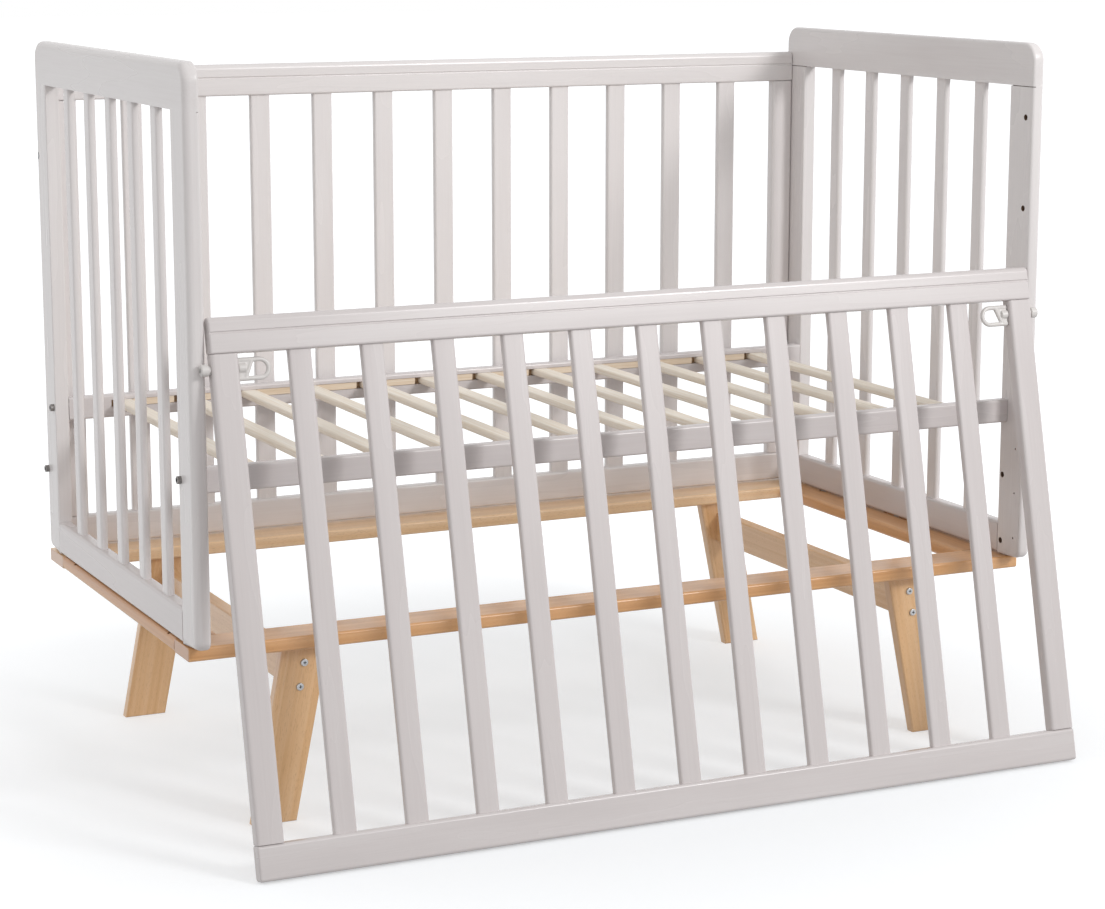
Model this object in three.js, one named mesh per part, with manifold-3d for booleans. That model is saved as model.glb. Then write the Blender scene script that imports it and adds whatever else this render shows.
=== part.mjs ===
// A slatted crib on a low beech stand. The crib rolls from front to back over the stand, its front
// side is unhooked, stands on the floor and leans on the front posts, held by two sprung latches.
// Millimetres. X runs along the length, Y from front to back and Z up; the floor is at zero.
import * as THREE from "three";
import { mergeVertices } from "three/addons/utils/BufferGeometryUtils.js";
import Module from "manifold-3d";

const wasm = await Module();
wasm.setup();

// Space for the mattress, and the end panels
const MATTRESS_LENGTH = 1200;
const END_DEPTH = 675;
const END_THICK = 20;
const END_TOP_RAIL_TALL = 59.5;
const END_FOOT_RAIL_TALL = 45;
const END_SHOULDER_RADIUS = 25;
const POST_WIDE = 55;
const POST_FOOT_RADIUS = 10;
const BOLT_HEAD_RADIUS = 5;
const BOLT_HEAD_TALL = 5.5;
const END_SLATS = 5;
const END_SLAT_WIDE = 25;
const END_SLAT_THICK = 9;

// Long sides: the back panel and the front side
const SIDE_TALL = 688;
const END_ABOVE_SIDE = 38.5;
const SIDE_TOP_RAIL_TALL = 45.5;
const SIDE_FOOT_RAIL_TALL = 44.5;
const STILE_WIDE = 35;
const SIDE_SLATS = 11;
const SIDE_SLAT_WIDE = 30;
const SIDE_SLAT_THICK = 11;
const BACK_THICK = 18;
const FRONT_THICK = 20;
const FRONT_END_PLAY = 3;
const BACK_BOLT_UP = 116.5;
const RAIL_GROOVE_DOWN = 17;
const RAIL_GROOVE_WIDE = 3;
const RAIL_GROOVE_DEEP = 1.5;
const RAIL_TOP_RADIUS = 7;

// Mattress base
const BASE_SLATS = 12;
const BASE_SLAT_WIDE = 25;
const BASE_SLAT_THICK = 10;
const BASE_RAIL_THICK = 17;
const BASE_RAIL_TALL = 33;
const BASE_RAIL_IN = 46.5;
const BASE_GROOVE_DEEP = 8;
const BASE_GROOVE_UP = 15;

// Holes in the posts: three levels for the base, two for the front side's latches
const BASE_HOLE_UP = 19;
const BASE_HOLE_PITCH = 96;
const BASE_STEPS = 2;
const BASE_RAIL_BELOW_HOLE = 19;
const LATCH_HOLE_IN = 16;
const LATCH_HOLE_PITCH = 126;
const POST_HOLE_RADIUS = 4.25;
const POST_HOLE_DEEP = 14;

// Front side's latches
const LATCH_BELOW_RAIL = 18.5;
const LATCH_PIN_RADIUS = 3.5;
const CATCH_RADIUS = 7.5;
const CATCH_LONG = 12;
const RING_LONG = 43;
const RING_ABOVE = 13;
const RING_BELOW = 16;
const RING_THICK = 7;
const RING_RIM = 5;
const RING_WEB = 6;
const RING_SLANT = 11;
const RING_BOSS_RADIUS = 6;
const RING_BOSS_LONG = 10;
const LEAN = THREE.MathUtils.degToRad(13.1);

// Stand
const LEG_TALL = 235;
const LEG_THICK = 18;
const LEG_IN = 28;
const LEG_TOP_INSIDE_BEAM = 38;
const LEG_TOP_WIDE = 63;
const LEG_FOOT_WIDE = 60;
const LEG_SPLAY = 48;
const BOARD_THICK = 18;
const BOARD_WIDE = 59;
const STAND_IN = 32.5;
const STAND_FURTHER_BACK = 22;
const BACK_BOARD_WIDER = 8;
const BEAM_THICK = 20;
const BEAM_TALL = 46;
const BEAM_IN = 160;
const BEAM_BELOW_BOARD = 17;

// Screws that hold the legs to the cross-beams
const SCREW_HEAD_RADIUS = 5;
const SCREW_HEAD_TALL = 2.5;
const SCREW_RADIUS = 2.5;
const SCREW_IN_BEAM = 22;
const SCREW_SPACING = 31.5;
const SCREW_LEAN = 6.5;

// Pendulum gear: rollers in the stand's side boards and a stop peg under each end panel
const SWING = 30;
const ROLL_GAP = 2;
const ROLLER_RADIUS = 9;
const ROLLER_WIDE = 8;
const ROLLER_IN = 11;
const ROLLER_FROM_BOARD = 31;
const AXLE_RADIUS = 2.5;
const AXLE_STUB = 5;
const PEG_RADIUS = 4;
const PEG_IN_RAIL = 20;
const PEG_IN_BOARD = 13;

// Edges, running and seating clearances, and how far a cut runs past the wood
const PAINTED_EDGE = 2.5;
const BEECH_EDGE = 3;
const SLAT_EDGE = 2;
const SEAT = 0.3;
const TENON = 12;
const OVERRUN = 2;
const TURNED_SIDES = 20;
const CORNER_STEPS = 1;

const PAINT = new THREE.MeshStandardMaterial({ color: 0xd8d3d2, roughness: 0.45, metalness: 0 });
const BEECH = new THREE.MeshStandardMaterial({ color: 0xd0a273, roughness: 0.5, metalness: 0 });
const BIRCH = new THREE.MeshStandardMaterial({ color: 0xe6d3b1, roughness: 0.6, metalness: 0 });
const PLASTIC = new THREE.MeshStandardMaterial({ color: 0xf1f1ef, roughness: 0.35, metalness: 0 });
const ZINC = new THREE.MeshStandardMaterial({ color: 0xb9bcc0, roughness: 0.35, metalness: 1 });

// Levels and places that follow from the sizes above
const END_TALL = SIDE_TALL + END_ABOVE_SIDE;
const HALF_INSIDE = MATTRESS_LENGTH / 2;
const HALF_DEPTH = END_DEPTH / 2;
const HALF_STAND = HALF_DEPTH - STAND_IN;
const OUTER_END = HALF_INSIDE + END_THICK;
const BOARD_TOP = LEG_TALL + BOARD_THICK;
const CRIB_BOTTOM = BOARD_TOP + ROLL_GAP;
const CRIB_TOP = CRIB_BOTTOM + END_TALL;
const BASE_RAIL_TO_MIDDLE = HALF_DEPTH - BASE_RAIL_IN;
const BASE_BOLT_Z = CRIB_BOTTOM + BASE_HOLE_UP + BASE_STEPS * BASE_HOLE_PITCH;
const BASE_RAIL_BOTTOM = BASE_BOLT_Z - BASE_RAIL_BELOW_HOLE;
const LATCH_UP = SIDE_TALL - SIDE_TOP_RAIL_TALL - LATCH_BELOW_RAIL;
const LATCH_HOLE_TOP_Z = CRIB_BOTTOM + LATCH_UP;
const SIDES = [["left", -1], ["right", 1]];
const FACES = [["front", -1], ["back", 1]];
const ALONG_X = new THREE.Matrix4().makeBasis(
  new THREE.Vector3(0, 1, 0), new THREE.Vector3(0, 0, 1), new THREE.Vector3(1, 0, 0));
const ALONG_Y = new THREE.Matrix4().makeBasis(
  new THREE.Vector3(1, 0, 0), new THREE.Vector3(0, 0, 1), new THREE.Vector3(0, -1, 0));
const QUARTER = Math.PI / 2;

// The leaning front side turns about its latch pins. Its lower back edge stands on the floor, and
// its catches touch the front faces of the posts.
const LATCH_TO_BACK_FACE = FRONT_THICK / 2;
const EDGE_RISE = PAINTED_EDGE * (Math.cos(LEAN) + Math.sin(LEAN) - 1);
const PIN_Z = LATCH_UP * Math.cos(LEAN) + LATCH_TO_BACK_FACE * Math.sin(LEAN) - EDGE_RISE;
const PIN_Y = -HALF_DEPTH - CATCH_RADIUS - SEAT;
const FRONT_REACH = -PIN_Y + LATCH_UP * Math.sin(LEAN) + LATCH_TO_BACK_FACE * Math.cos(LEAN) - EDGE_RISE;
const FRONT_LENGTH = MATTRESS_LENGTH - 2 * FRONT_END_PLAY;

// The frame stands at the middle of the floor space between the back and the leaning side's foot
const part = new THREE.Group();
part.position.y = (FRONT_REACH - HALF_DEPTH) / 2;
const leaningSide = new THREE.Group();
leaningSide.position.set(0, PIN_Y, PIN_Z);
leaningSide.rotation.x = -LEAN;
part.add(leaningSide);

function solid(geometry) {
  const bare = geometry.clone();
  bare.deleteAttribute("normal");
  bare.deleteAttribute("uv");
  const merged = mergeVertices(bare);
  return new wasm.Manifold(new wasm.Mesh({
    numProp: 3,
    vertProperties: new Float32Array(merged.attributes.position.array),
    triVerts: new Uint32Array(merged.index.array),
  }));
}

function skin(body) {
  const mesh = body.getMesh();
  const geometry = new THREE.BufferGeometry();
  geometry.setAttribute("position", new THREE.BufferAttribute(new Float32Array(mesh.vertProperties), 3));
  geometry.setIndex(new THREE.BufferAttribute(new Uint32Array(mesh.triVerts), 1));
  const faceted = geometry.toNonIndexed();
  faceted.computeVertexNormals();
  return faceted;
}

function add(name, geometry, material, group = part) {
  const mesh = new THREE.Mesh(geometry, material);
  mesh.name = name;
  group.add(mesh);
}

// A rectangle whose four corners have their own radii, from the one at +x +y, anticlockwise. A
// radius of zero leaves the corner sharp.
function rectangle(width, height, radii) {
  const corners = [[1, 1], [-1, 1], [-1, -1], [1, -1]];
  const points = corners.flatMap(([signX, signY], index) => {
    const radius = radii[index];
    const x = signX * (width / 2 - radius);
    const y = signY * (height / 2 - radius);
    const steps = radius > 0 ? 2 * CORNER_STEPS : 0;
    return Array.from({ length: steps + 1 }, (_, step) => {
      const angle = (index + (steps > 0 ? step / steps : 0)) * QUARTER;
      return new THREE.Vector2(x + radius * Math.cos(angle), y + radius * Math.sin(angle));
    });
  });
  return new THREE.Shape(points);
}

// A piece of timber between two corners, its four long edges rounded, running along one axis
function timber(along, [x0, x1], [y0, y1], [z0, z1], edge) {
  const size = { x: x1 - x0, y: y1 - y0, z: z1 - z0 };
  const [across, up] = { x: [size.y, size.z], y: [size.x, size.z], z: [size.x, size.y] }[along];
  const shape = rectangle(across, up, [edge, edge, edge, edge]);
  const length = size[along];
  const geometry = new THREE.ExtrudeGeometry(shape, { depth: length, bevelEnabled: false });
  geometry.translate(0, 0, -length / 2);
  if (along === "x") {
    geometry.applyMatrix4(ALONG_X);
  }
  if (along === "y") {
    geometry.applyMatrix4(ALONG_Y);
  }
  return geometry.translate((x0 + x1) / 2, (y0 + y1) / 2, (z0 + z1) / 2);
}

// A board cut to an outline, its edges eased all round, standing across the given axis
function board(shape, thickness, edge, turn) {
  const geometry = new THREE.ExtrudeGeometry(shape, {
    depth: thickness - 2 * edge,
    bevelThickness: edge,
    bevelSize: edge,
    bevelOffset: -edge,
    bevelSegments: 1,
    curveSegments: 2,
  });
  geometry.translate(0, 0, edge - thickness / 2);
  return geometry.applyMatrix4(turn);
}

function block([x0, x1], [y0, y1], [z0, z1]) {
  const geometry = new THREE.BoxGeometry(x1 - x0, y1 - y0, z1 - z0);
  return geometry.translate((x0 + x1) / 2, (y0 + y1) / 2, (z0 + z1) / 2);
}

// A round bar along X, from one place to another
function roundAlongX(radius, x0, x1, y, z) {
  const geometry = new THREE.CylinderGeometry(radius, radius, Math.abs(x1 - x0), TURNED_SIDES);
  geometry.rotateZ(QUARTER);
  return geometry.translate((x0 + x1) / 2, y, z);
}

function roundAlongY(radius, x, y0, y1, z) {
  const geometry = new THREE.CylinderGeometry(radius, radius, Math.abs(y1 - y0), TURNED_SIDES);
  return geometry.translate(x, (y0 + y1) / 2, z);
}

function roundAlongZ(radius, x, y, z0, z1) {
  const geometry = new THREE.CylinderGeometry(radius, radius, z1 - z0, TURNED_SIDES);
  geometry.rotateX(QUARTER);
  return geometry.translate(x, y, (z0 + z1) / 2);
}

function signedSpan(sign, inner, outer) {
  return sign > 0 ? [inner, outer] : [-outer, -inner];
}

// Middles of a row of slats with equal gaps between two edges
function slatPlaces(count, width, from, to) {
  const gap = (to - from - count * width) / (count + 1);
  return Array.from({ length: count }, (_, index) => from + gap + width / 2 + index * (gap + width));
}

// End panels: two posts under a top rail, and a slatted grille glued up with its foot rail. The
// heads of the bolts that hold the base rails and the foot of the back panel stand proud of the posts.
const endTopRailBottom = CRIB_TOP - END_TOP_RAIL_TALL;
const postInner = HALF_DEPTH - POST_WIDE;

function endTopRail(sign) {
  const shape = rectangle(END_DEPTH, END_TOP_RAIL_TALL, [END_SHOULDER_RADIUS, END_SHOULDER_RADIUS, 0, 0]);
  const rail = board(shape, END_THICK, PAINTED_EDGE, ALONG_X);
  return rail.translate(sign * (HALF_INSIDE + END_THICK / 2), 0, CRIB_TOP - END_TOP_RAIL_TALL / 2);
}

function endPost(sign, face) {
  const height = endTopRailBottom - SEAT - CRIB_BOTTOM;
  const radii = face > 0 ? [0, 0, 0, POST_FOOT_RADIUS] : [0, 0, POST_FOOT_RADIUS, 0];
  const blank = board(rectangle(POST_WIDE, height, radii), END_THICK, PAINTED_EDGE, ALONG_X);
  blank.translate(
    sign * (HALF_INSIDE + END_THICK / 2), face * (HALF_DEPTH - POST_WIDE / 2), CRIB_BOTTOM + height / 2);
  const inner = sign * (HALF_INSIDE - OVERRUN);
  const bottom = sign * (HALF_INSIDE + POST_HOLE_DEEP);
  const places = [0, 1].map((level) => [
    face * BASE_RAIL_TO_MIDDLE, CRIB_BOTTOM + BASE_HOLE_UP + level * BASE_HOLE_PITCH]);
  if (face < 0) {
    [0, 1].forEach((level) => {
      places.push([-HALF_DEPTH + LATCH_HOLE_IN, LATCH_HOLE_TOP_Z - level * LATCH_HOLE_PITCH]);
    });
  }
  const bored = places.reduce((post, [y, z]) => (
    post.subtract(solid(roundAlongX(POST_HOLE_RADIUS, inner, bottom, y, z)))), solid(blank));
  const bolts = [[face * BASE_RAIL_TO_MIDDLE, BASE_BOLT_Z]];
  if (face > 0) {
    bolts.push([HALF_DEPTH - BACK_THICK / 2, CRIB_BOTTOM + BACK_BOLT_UP]);
  }
  return skin(bolts.reduce((post, [y, z]) => post.add(solid(roundAlongX(BOLT_HEAD_RADIUS,
    sign * (OUTER_END - OVERRUN), sign * (OUTER_END + BOLT_HEAD_TALL), y, z))), bored));
}

function endGrille(sign) {
  const depth = [-(postInner - SEAT), postInner - SEAT];
  const railTop = CRIB_BOTTOM + END_FOOT_RAIL_TALL;
  const rail = timber("y", signedSpan(sign, HALF_INSIDE, OUTER_END), depth, [CRIB_BOTTOM, railTop],
    PAINTED_EDGE);
  const slatIn = HALF_INSIDE + (END_THICK - END_SLAT_THICK) / 2;
  const across = signedSpan(sign, slatIn, slatIn + END_SLAT_THICK);
  const pegHole = roundAlongZ(PEG_RADIUS + SEAT, sign * (OUTER_END - ROLLER_IN), 0,
    CRIB_BOTTOM - OVERRUN, CRIB_BOTTOM + PEG_IN_RAIL + SEAT);
  const start = solid(rail).subtract(solid(pegHole));
  const places = slatPlaces(END_SLATS, END_SLAT_WIDE, -postInner, postInner);
  return skin(places.reduce((grille, y) => grille.add(solid(timber("z", across,
    [y - END_SLAT_WIDE / 2, y + END_SLAT_WIDE / 2], [railTop - TENON, endTopRailBottom - SEAT],
    SLAT_EDGE))), start));
}

function stopPeg(sign) {
  return roundAlongZ(PEG_RADIUS, sign * (OUTER_END - ROLLER_IN), 0,
    CRIB_BOTTOM - ROLL_GAP - PEG_IN_BOARD, CRIB_BOTTOM + PEG_IN_RAIL);
}

SIDES.forEach(([side, sign]) => {
  add(`${side}_end_top_rail`, endTopRail(sign), PAINT);
  FACES.forEach(([face, faceSign]) => add(`${side}_${face}_post`, endPost(sign, faceSign), PAINT));
  add(`${side}_end_grille`, endGrille(sign), PAINT);
  add(`${side}_stop_peg`, stopPeg(sign), ZINC);
});

// Long sides: a grooved handrail over two stiles and a slatted grille. Each is built about the
// middle of its thickness, with its foot at zero, and then set in its place.
function handrail(halfLength, thickness, below) {
  const half = thickness / 2;
  const shape = new THREE.Shape();
  const grooveMiddle = SIDE_TALL - RAIL_GROOVE_DOWN;
  const railBottom = SIDE_TALL - SIDE_TOP_RAIL_TALL;
  const outer = half - RAIL_GROOVE_DEEP;
  const low = grooveMiddle - RAIL_GROOVE_WIDE / 2;
  const high = grooveMiddle + RAIL_GROOVE_WIDE / 2;
  const crown = SIDE_TALL - RAIL_TOP_RADIUS;
  shape.moveTo(-half, railBottom);
  shape.lineTo(half, railBottom);
  shape.lineTo(half, low);
  shape.lineTo(outer, grooveMiddle);
  shape.lineTo(half, high);
  shape.absarc(half - RAIL_TOP_RADIUS, crown, RAIL_TOP_RADIUS, 0, QUARTER, false);
  shape.absarc(RAIL_TOP_RADIUS - half, crown, RAIL_TOP_RADIUS, QUARTER, 2 * QUARTER, false);
  shape.lineTo(-half, high);
  shape.lineTo(-outer, grooveMiddle);
  shape.lineTo(-half, low);
  const geometry = new THREE.ExtrudeGeometry(shape, {
    depth: 2 * halfLength, bevelEnabled: false, curveSegments: 2,
  });
  geometry.translate(0, 0, -halfLength);
  geometry.applyMatrix4(ALONG_X);
  return geometry.translate(0, 0, -below);
}

function stile(sign, halfLength, thickness, below) {
  const across = signedSpan(sign, halfLength - STILE_WIDE, halfLength);
  return timber("z", across, [-thickness / 2, thickness / 2],
    [SIDE_FOOT_RAIL_TALL + SEAT - below, SIDE_TALL - SIDE_TOP_RAIL_TALL - SEAT - below], PAINTED_EDGE);
}

function sideGrille(halfLength, thickness, below) {
  const rail = solid(timber("x", [-halfLength, halfLength], [-thickness / 2, thickness / 2],
    [-below, SIDE_FOOT_RAIL_TALL - below], PAINTED_EDGE));
  const stileInner = halfLength - STILE_WIDE;
  const height = [SIDE_FOOT_RAIL_TALL - TENON - below, SIDE_TALL - SIDE_TOP_RAIL_TALL - SEAT - below];
  const places = slatPlaces(SIDE_SLATS, SIDE_SLAT_WIDE, -stileInner, stileInner);
  return skin(places.reduce((grille, x) => grille.add(solid(timber("z",
    [x - SIDE_SLAT_WIDE / 2, x + SIDE_SLAT_WIDE / 2], [-SIDE_SLAT_THICK / 2, SIDE_SLAT_THICK / 2],
    height, SLAT_EDGE))), rail));
}

const backPanel = new THREE.Group();
const halfBack = HALF_INSIDE - SEAT;
backPanel.position.set(0, HALF_DEPTH - BACK_THICK / 2, CRIB_BOTTOM);
part.add(backPanel);
add("back_top_rail", handrail(halfBack, BACK_THICK, 0), PAINT, backPanel);
add("back_grille", sideGrille(halfBack, BACK_THICK, 0), PAINT, backPanel);
SIDES.forEach(([side, sign]) => {
  add(`back_${side}_stile`, stile(sign, halfBack, BACK_THICK, 0), PAINT, backPanel);
});

// Front side: the same make, bored through each stile for a latch pin
const halfFront = FRONT_LENGTH / 2;
const boreRadius = LATCH_PIN_RADIUS + SEAT;
const stileInner = halfFront - STILE_WIDE;

function boredStile(sign) {
  const bore = roundAlongX(boreRadius, sign * (stileInner - OVERRUN), sign * (halfFront + OVERRUN), 0, 0);
  return skin(solid(stile(sign, halfFront, FRONT_THICK, LATCH_UP)).subtract(solid(bore)));
}

add("front_top_rail", handrail(halfFront, FRONT_THICK, LATCH_UP), PAINT, leaningSide);
add("front_grille", sideGrille(halfFront, FRONT_THICK, LATCH_UP), PAINT, leaningSide);
SIDES.forEach(([side, sign]) => {
  add(`front_${side}_stile`, boredStile(sign), PAINT, leaningSide);
});

// Latches: a finger ring inside each stile pulls a pin out of its hole in the post. The ring is
// drawn from the stile inwards, with a flat foot and a side that slants back to the web.
function pullRing(sign) {
  const inward = (along) => sign * (stileInner - SEAT - along);
  const outerRadius = (RING_ABOVE + RING_BELOW) / 2;
  const middle = (RING_ABOVE - RING_BELOW) / 2;
  const holeRadius = outerRadius - RING_RIM;
  const roundMiddle = RING_LONG - outerRadius;
  const outline = new THREE.Shape();
  outline.moveTo(0, -RING_BELOW);
  outline.lineTo(roundMiddle, -RING_BELOW);
  outline.absarc(roundMiddle, middle, outerRadius, -QUARTER, QUARTER, false);
  outline.lineTo(0, RING_ABOVE);
  const hole = new THREE.Path();
  hole.moveTo(RING_WEB, -RING_BELOW + RING_RIM);
  hole.lineTo(roundMiddle, -RING_BELOW + RING_RIM);
  hole.absarc(roundMiddle, middle, holeRadius, -QUARTER, QUARTER, false);
  hole.lineTo(RING_WEB + RING_SLANT, RING_ABOVE - RING_RIM);
  outline.holes.push(hole);
  const plate = new THREE.ExtrudeGeometry(outline, {
    depth: RING_THICK, bevelEnabled: false, curveSegments: 6,
  });
  plate.translate(0, 0, -RING_THICK / 2);
  plate.applyMatrix4(ALONG_Y);
  if (sign > 0) {
    plate.rotateZ(2 * QUARTER);
  }
  plate.translate(inward(0), 0, 0);
  const boss = roundAlongX(RING_BOSS_RADIUS, inward(0), inward(RING_BOSS_LONG), 0, 0);
  const bore = roundAlongX(boreRadius, inward(-OVERRUN), inward(RING_BOSS_LONG - OVERRUN), 0, 0);
  return skin(solid(plate).add(solid(boss)).subtract(solid(bore)));
}

function latchPin(sign) {
  const inner = stileInner - RING_BOSS_LONG + OVERRUN;
  const outer = halfFront + SEAT + CATCH_LONG;
  return roundAlongX(LATCH_PIN_RADIUS, sign * inner, sign * outer, 0, 0);
}

function catchSleeve(sign) {
  const inner = halfFront + SEAT;
  const body = roundAlongX(CATCH_RADIUS, sign * inner, sign * (inner + CATCH_LONG), PIN_Y, PIN_Z);
  const bore = roundAlongX(boreRadius, sign * (inner - OVERRUN), sign * (inner + CATCH_LONG + OVERRUN),
    PIN_Y, PIN_Z);
  return skin(solid(body).subtract(solid(bore)));
}

SIDES.forEach(([side, sign]) => {
  add(`${side}_pull_ring`, pullRing(sign), PLASTIC, leaningSide);
  add(`${side}_latch_pin`, latchPin(sign), ZINC, leaningSide);
  add(`${side}_catch_sleeve`, catchSleeve(sign), PLASTIC);
});

// Mattress base: slats lying in the grooves of two rails that are bolted to the posts
const baseSlatBottom = BASE_RAIL_BOTTOM + BASE_GROOVE_UP;
const railInner = BASE_RAIL_TO_MIDDLE - BASE_RAIL_THICK / 2;

function baseRail(face) {
  const depth = signedSpan(face, railInner, railInner + BASE_RAIL_THICK);
  const rail = timber("x", [-halfBack, halfBack], depth,
    [BASE_RAIL_BOTTOM, BASE_RAIL_BOTTOM + BASE_RAIL_TALL], PAINTED_EDGE);
  const groove = block([-OUTER_END, OUTER_END],
    signedSpan(face, railInner - OVERRUN, railInner + BASE_GROOVE_DEEP),
    [baseSlatBottom - SEAT, baseSlatBottom + BASE_SLAT_THICK + SEAT]);
  return skin(solid(rail).subtract(solid(groove)));
}

FACES.forEach(([face, faceSign]) => add(`base_${face}_rail`, baseRail(faceSign), PAINT));
const slatReach = railInner + BASE_GROOVE_DEEP - SEAT;
slatPlaces(BASE_SLATS, BASE_SLAT_WIDE, -HALF_INSIDE, HALF_INSIDE).forEach((x, index) => {
  const slat = timber("y", [x - BASE_SLAT_WIDE / 2, x + BASE_SLAT_WIDE / 2], [-slatReach, slatReach],
    [baseSlatBottom, baseSlatBottom + BASE_SLAT_THICK], SLAT_EDGE);
  add(`base_slat_${String(index + 1).padStart(2, "0")}`, slat, BIRCH);
});

// Stand: a flat frame of boards on four splayed leg plates, which two cross-beams tie together
const boardInner = HALF_STAND - BOARD_WIDE;
const rollerX = OUTER_END - ROLLER_IN;
const rollerZ = CRIB_BOTTOM - SEAT - ROLLER_RADIUS;
const rollerY = boardInner - ROLLER_FROM_BOARD;
const legOuter = HALF_STAND - LEG_IN;
const legInner = legOuter - LEG_THICK;
const beamX = OUTER_END - BEAM_IN;
const beamTop = LEG_TALL - BEAM_BELOW_BOARD;
const beamMiddle = beamTop - BEAM_TALL / 2;

// The stand reaches further behind the crib's middle than in front of it
function shiftBack(face) {
  return face > 0 ? STAND_FURTHER_BACK : 0;
}

function longBoard(face) {
  const inner = boardInner + shiftBack(face);
  const wide = face > 0 ? BOARD_WIDE + BACK_BOARD_WIDER : BOARD_WIDE;
  return timber("x", [-OUTER_END, OUTER_END], signedSpan(face, inner, inner + wide),
    [LEG_TALL, BOARD_TOP], BEECH_EDGE);
}

// Each side board has two roller slots, with rests for their axles, and a slot for the stop peg
function sideBoard(sign) {
  const reach = boardInner - SEAT;
  const blank = timber("y", signedSpan(sign, OUTER_END - BOARD_WIDE, OUTER_END),
    [-reach, reach + STAND_FURTHER_BACK], [LEG_TALL, BOARD_TOP], BEECH_EDGE);
  const through = [LEG_TALL - OVERRUN, BOARD_TOP + OVERRUN];
  const slotHalf = ROLLER_WIDE / 2 + SEAT;
  const restHalf = ROLLER_WIDE / 2 + AXLE_STUB + SEAT;
  const rest = AXLE_RADIUS + SEAT;
  const room = ROLLER_RADIUS + 2 * SEAT;
  const cuts = FACES.flatMap(([, face]) => {
    const y = face * rollerY;
    return [
      block(signedSpan(sign, rollerX - slotHalf, rollerX + slotHalf), [y - room, y + room], through),
      block(signedSpan(sign, rollerX - restHalf, rollerX + restHalf), [y - rest, y + rest],
        [rollerZ, BOARD_TOP + OVERRUN]),
      roundAlongX(rest, sign * (rollerX - restHalf), sign * (rollerX + restHalf), y, rollerZ),
    ];
  });
  const pegRoom = PEG_RADIUS + SEAT;
  cuts.push(block(signedSpan(sign, rollerX - pegRoom, rollerX + pegRoom),
    [-SWING - pegRoom, SWING + pegRoom], through));
  return skin(cuts.reduce((wood, cut) => wood.subtract(solid(cut)), solid(blank)));
}

function roller(sign, face) {
  const half = ROLLER_WIDE / 2;
  const profile = [
    [0, -half - AXLE_STUB], [AXLE_RADIUS, -half - AXLE_STUB], [AXLE_RADIUS, -half],
    [ROLLER_RADIUS, -half], [ROLLER_RADIUS, half], [AXLE_RADIUS, half],
    [AXLE_RADIUS, half + AXLE_STUB], [0, half + AXLE_STUB],
  ].map(([radius, along]) => new THREE.Vector2(radius, along));
  const turned = new THREE.LatheGeometry(profile, TURNED_SIDES);
  turned.rotateZ(QUARTER);
  return turned.translate(sign * rollerX, face * rollerY, rollerZ);
}

// The screws lie along the leg's lean, one above and one below the middle of the beam's end
const screwPlaces = [["upper", 1], ["lower", -1]].map(([name, up]) => [
  name, beamX - up * SCREW_LEAN / 2, beamMiddle + up * SCREW_SPACING / 2]);
const screwEnd = legInner - SCREW_IN_BEAM;

function screwHole(sign, face, x, z) {
  const shift = shiftBack(face);
  return roundAlongY(SCREW_RADIUS + SEAT, sign * x, face * (screwEnd - SEAT) + shift,
    face * (legOuter + OVERRUN) + shift, z);
}

function leg(sign, face) {
  const topInner = beamX - LEG_TOP_INSIDE_BEAM;
  const topOuter = topInner + LEG_TOP_WIDE;
  const footInner = topInner + LEG_SPLAY;
  const outline = [
    [topInner, LEG_TALL - SEAT], [footInner, 0], [footInner + LEG_FOOT_WIDE, 0],
    [topOuter, LEG_TALL - SEAT],
  ].map(([x, z]) => new THREE.Vector2(sign * x, z));
  const blank = board(new THREE.Shape(outline), LEG_THICK, BEECH_EDGE, ALONG_Y);
  blank.translate(0, face * (legOuter - LEG_THICK / 2) + shiftBack(face), 0);
  return skin(screwPlaces.reduce((wood, [, x, z]) => (
    wood.subtract(solid(screwHole(sign, face, x, z)))), solid(blank)));
}

function crossBeam(sign) {
  const reach = legInner - SEAT;
  const blank = timber("y", signedSpan(sign, beamX - BEAM_THICK / 2, beamX + BEAM_THICK / 2),
    [-reach, reach + STAND_FURTHER_BACK], [beamTop - BEAM_TALL, beamTop], BEECH_EDGE);
  const holes = FACES.flatMap(([, face]) => (
    screwPlaces.map(([, x, z]) => screwHole(sign, face, x, z))));
  return skin(holes.reduce((wood, hole) => wood.subtract(solid(hole)), solid(blank)));
}

function legScrew(sign, face, x, z) {
  const seat = legOuter + SEAT;
  const profile = [
    [0, screwEnd], [SCREW_RADIUS, screwEnd], [SCREW_RADIUS, seat], [SCREW_HEAD_RADIUS, seat],
    [SCREW_HEAD_RADIUS, seat + SCREW_HEAD_TALL], [0, seat + SCREW_HEAD_TALL],
  ].map(([radius, along]) => new THREE.Vector2(radius, along));
  const turned = new THREE.LatheGeometry(profile, TURNED_SIDES);
  if (face < 0) {
    turned.rotateZ(2 * QUARTER);
  }
  return turned.translate(sign * x, shiftBack(face), z);
}

FACES.forEach(([face, faceSign]) => add(`stand_${face}_board`, longBoard(faceSign), BEECH));
SIDES.forEach(([side, sign]) => {
  add(`stand_${side}_board`, sideBoard(sign), BEECH);
  add(`${side}_cross_beam`, crossBeam(sign), BEECH);
  FACES.forEach(([face, faceSign]) => {
    add(`${face}_${side}_leg`, leg(sign, faceSign), BEECH);
    add(`${face}_${side}_roller`, roller(sign, faceSign), ZINC);
    screwPlaces.forEach(([level, x, z]) => {
      add(`${face}_${side}_leg_screw_${level}`, legScrew(sign, faceSign, x, z), ZINC);
    });
  });
});

export default part;
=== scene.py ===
import math

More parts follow.
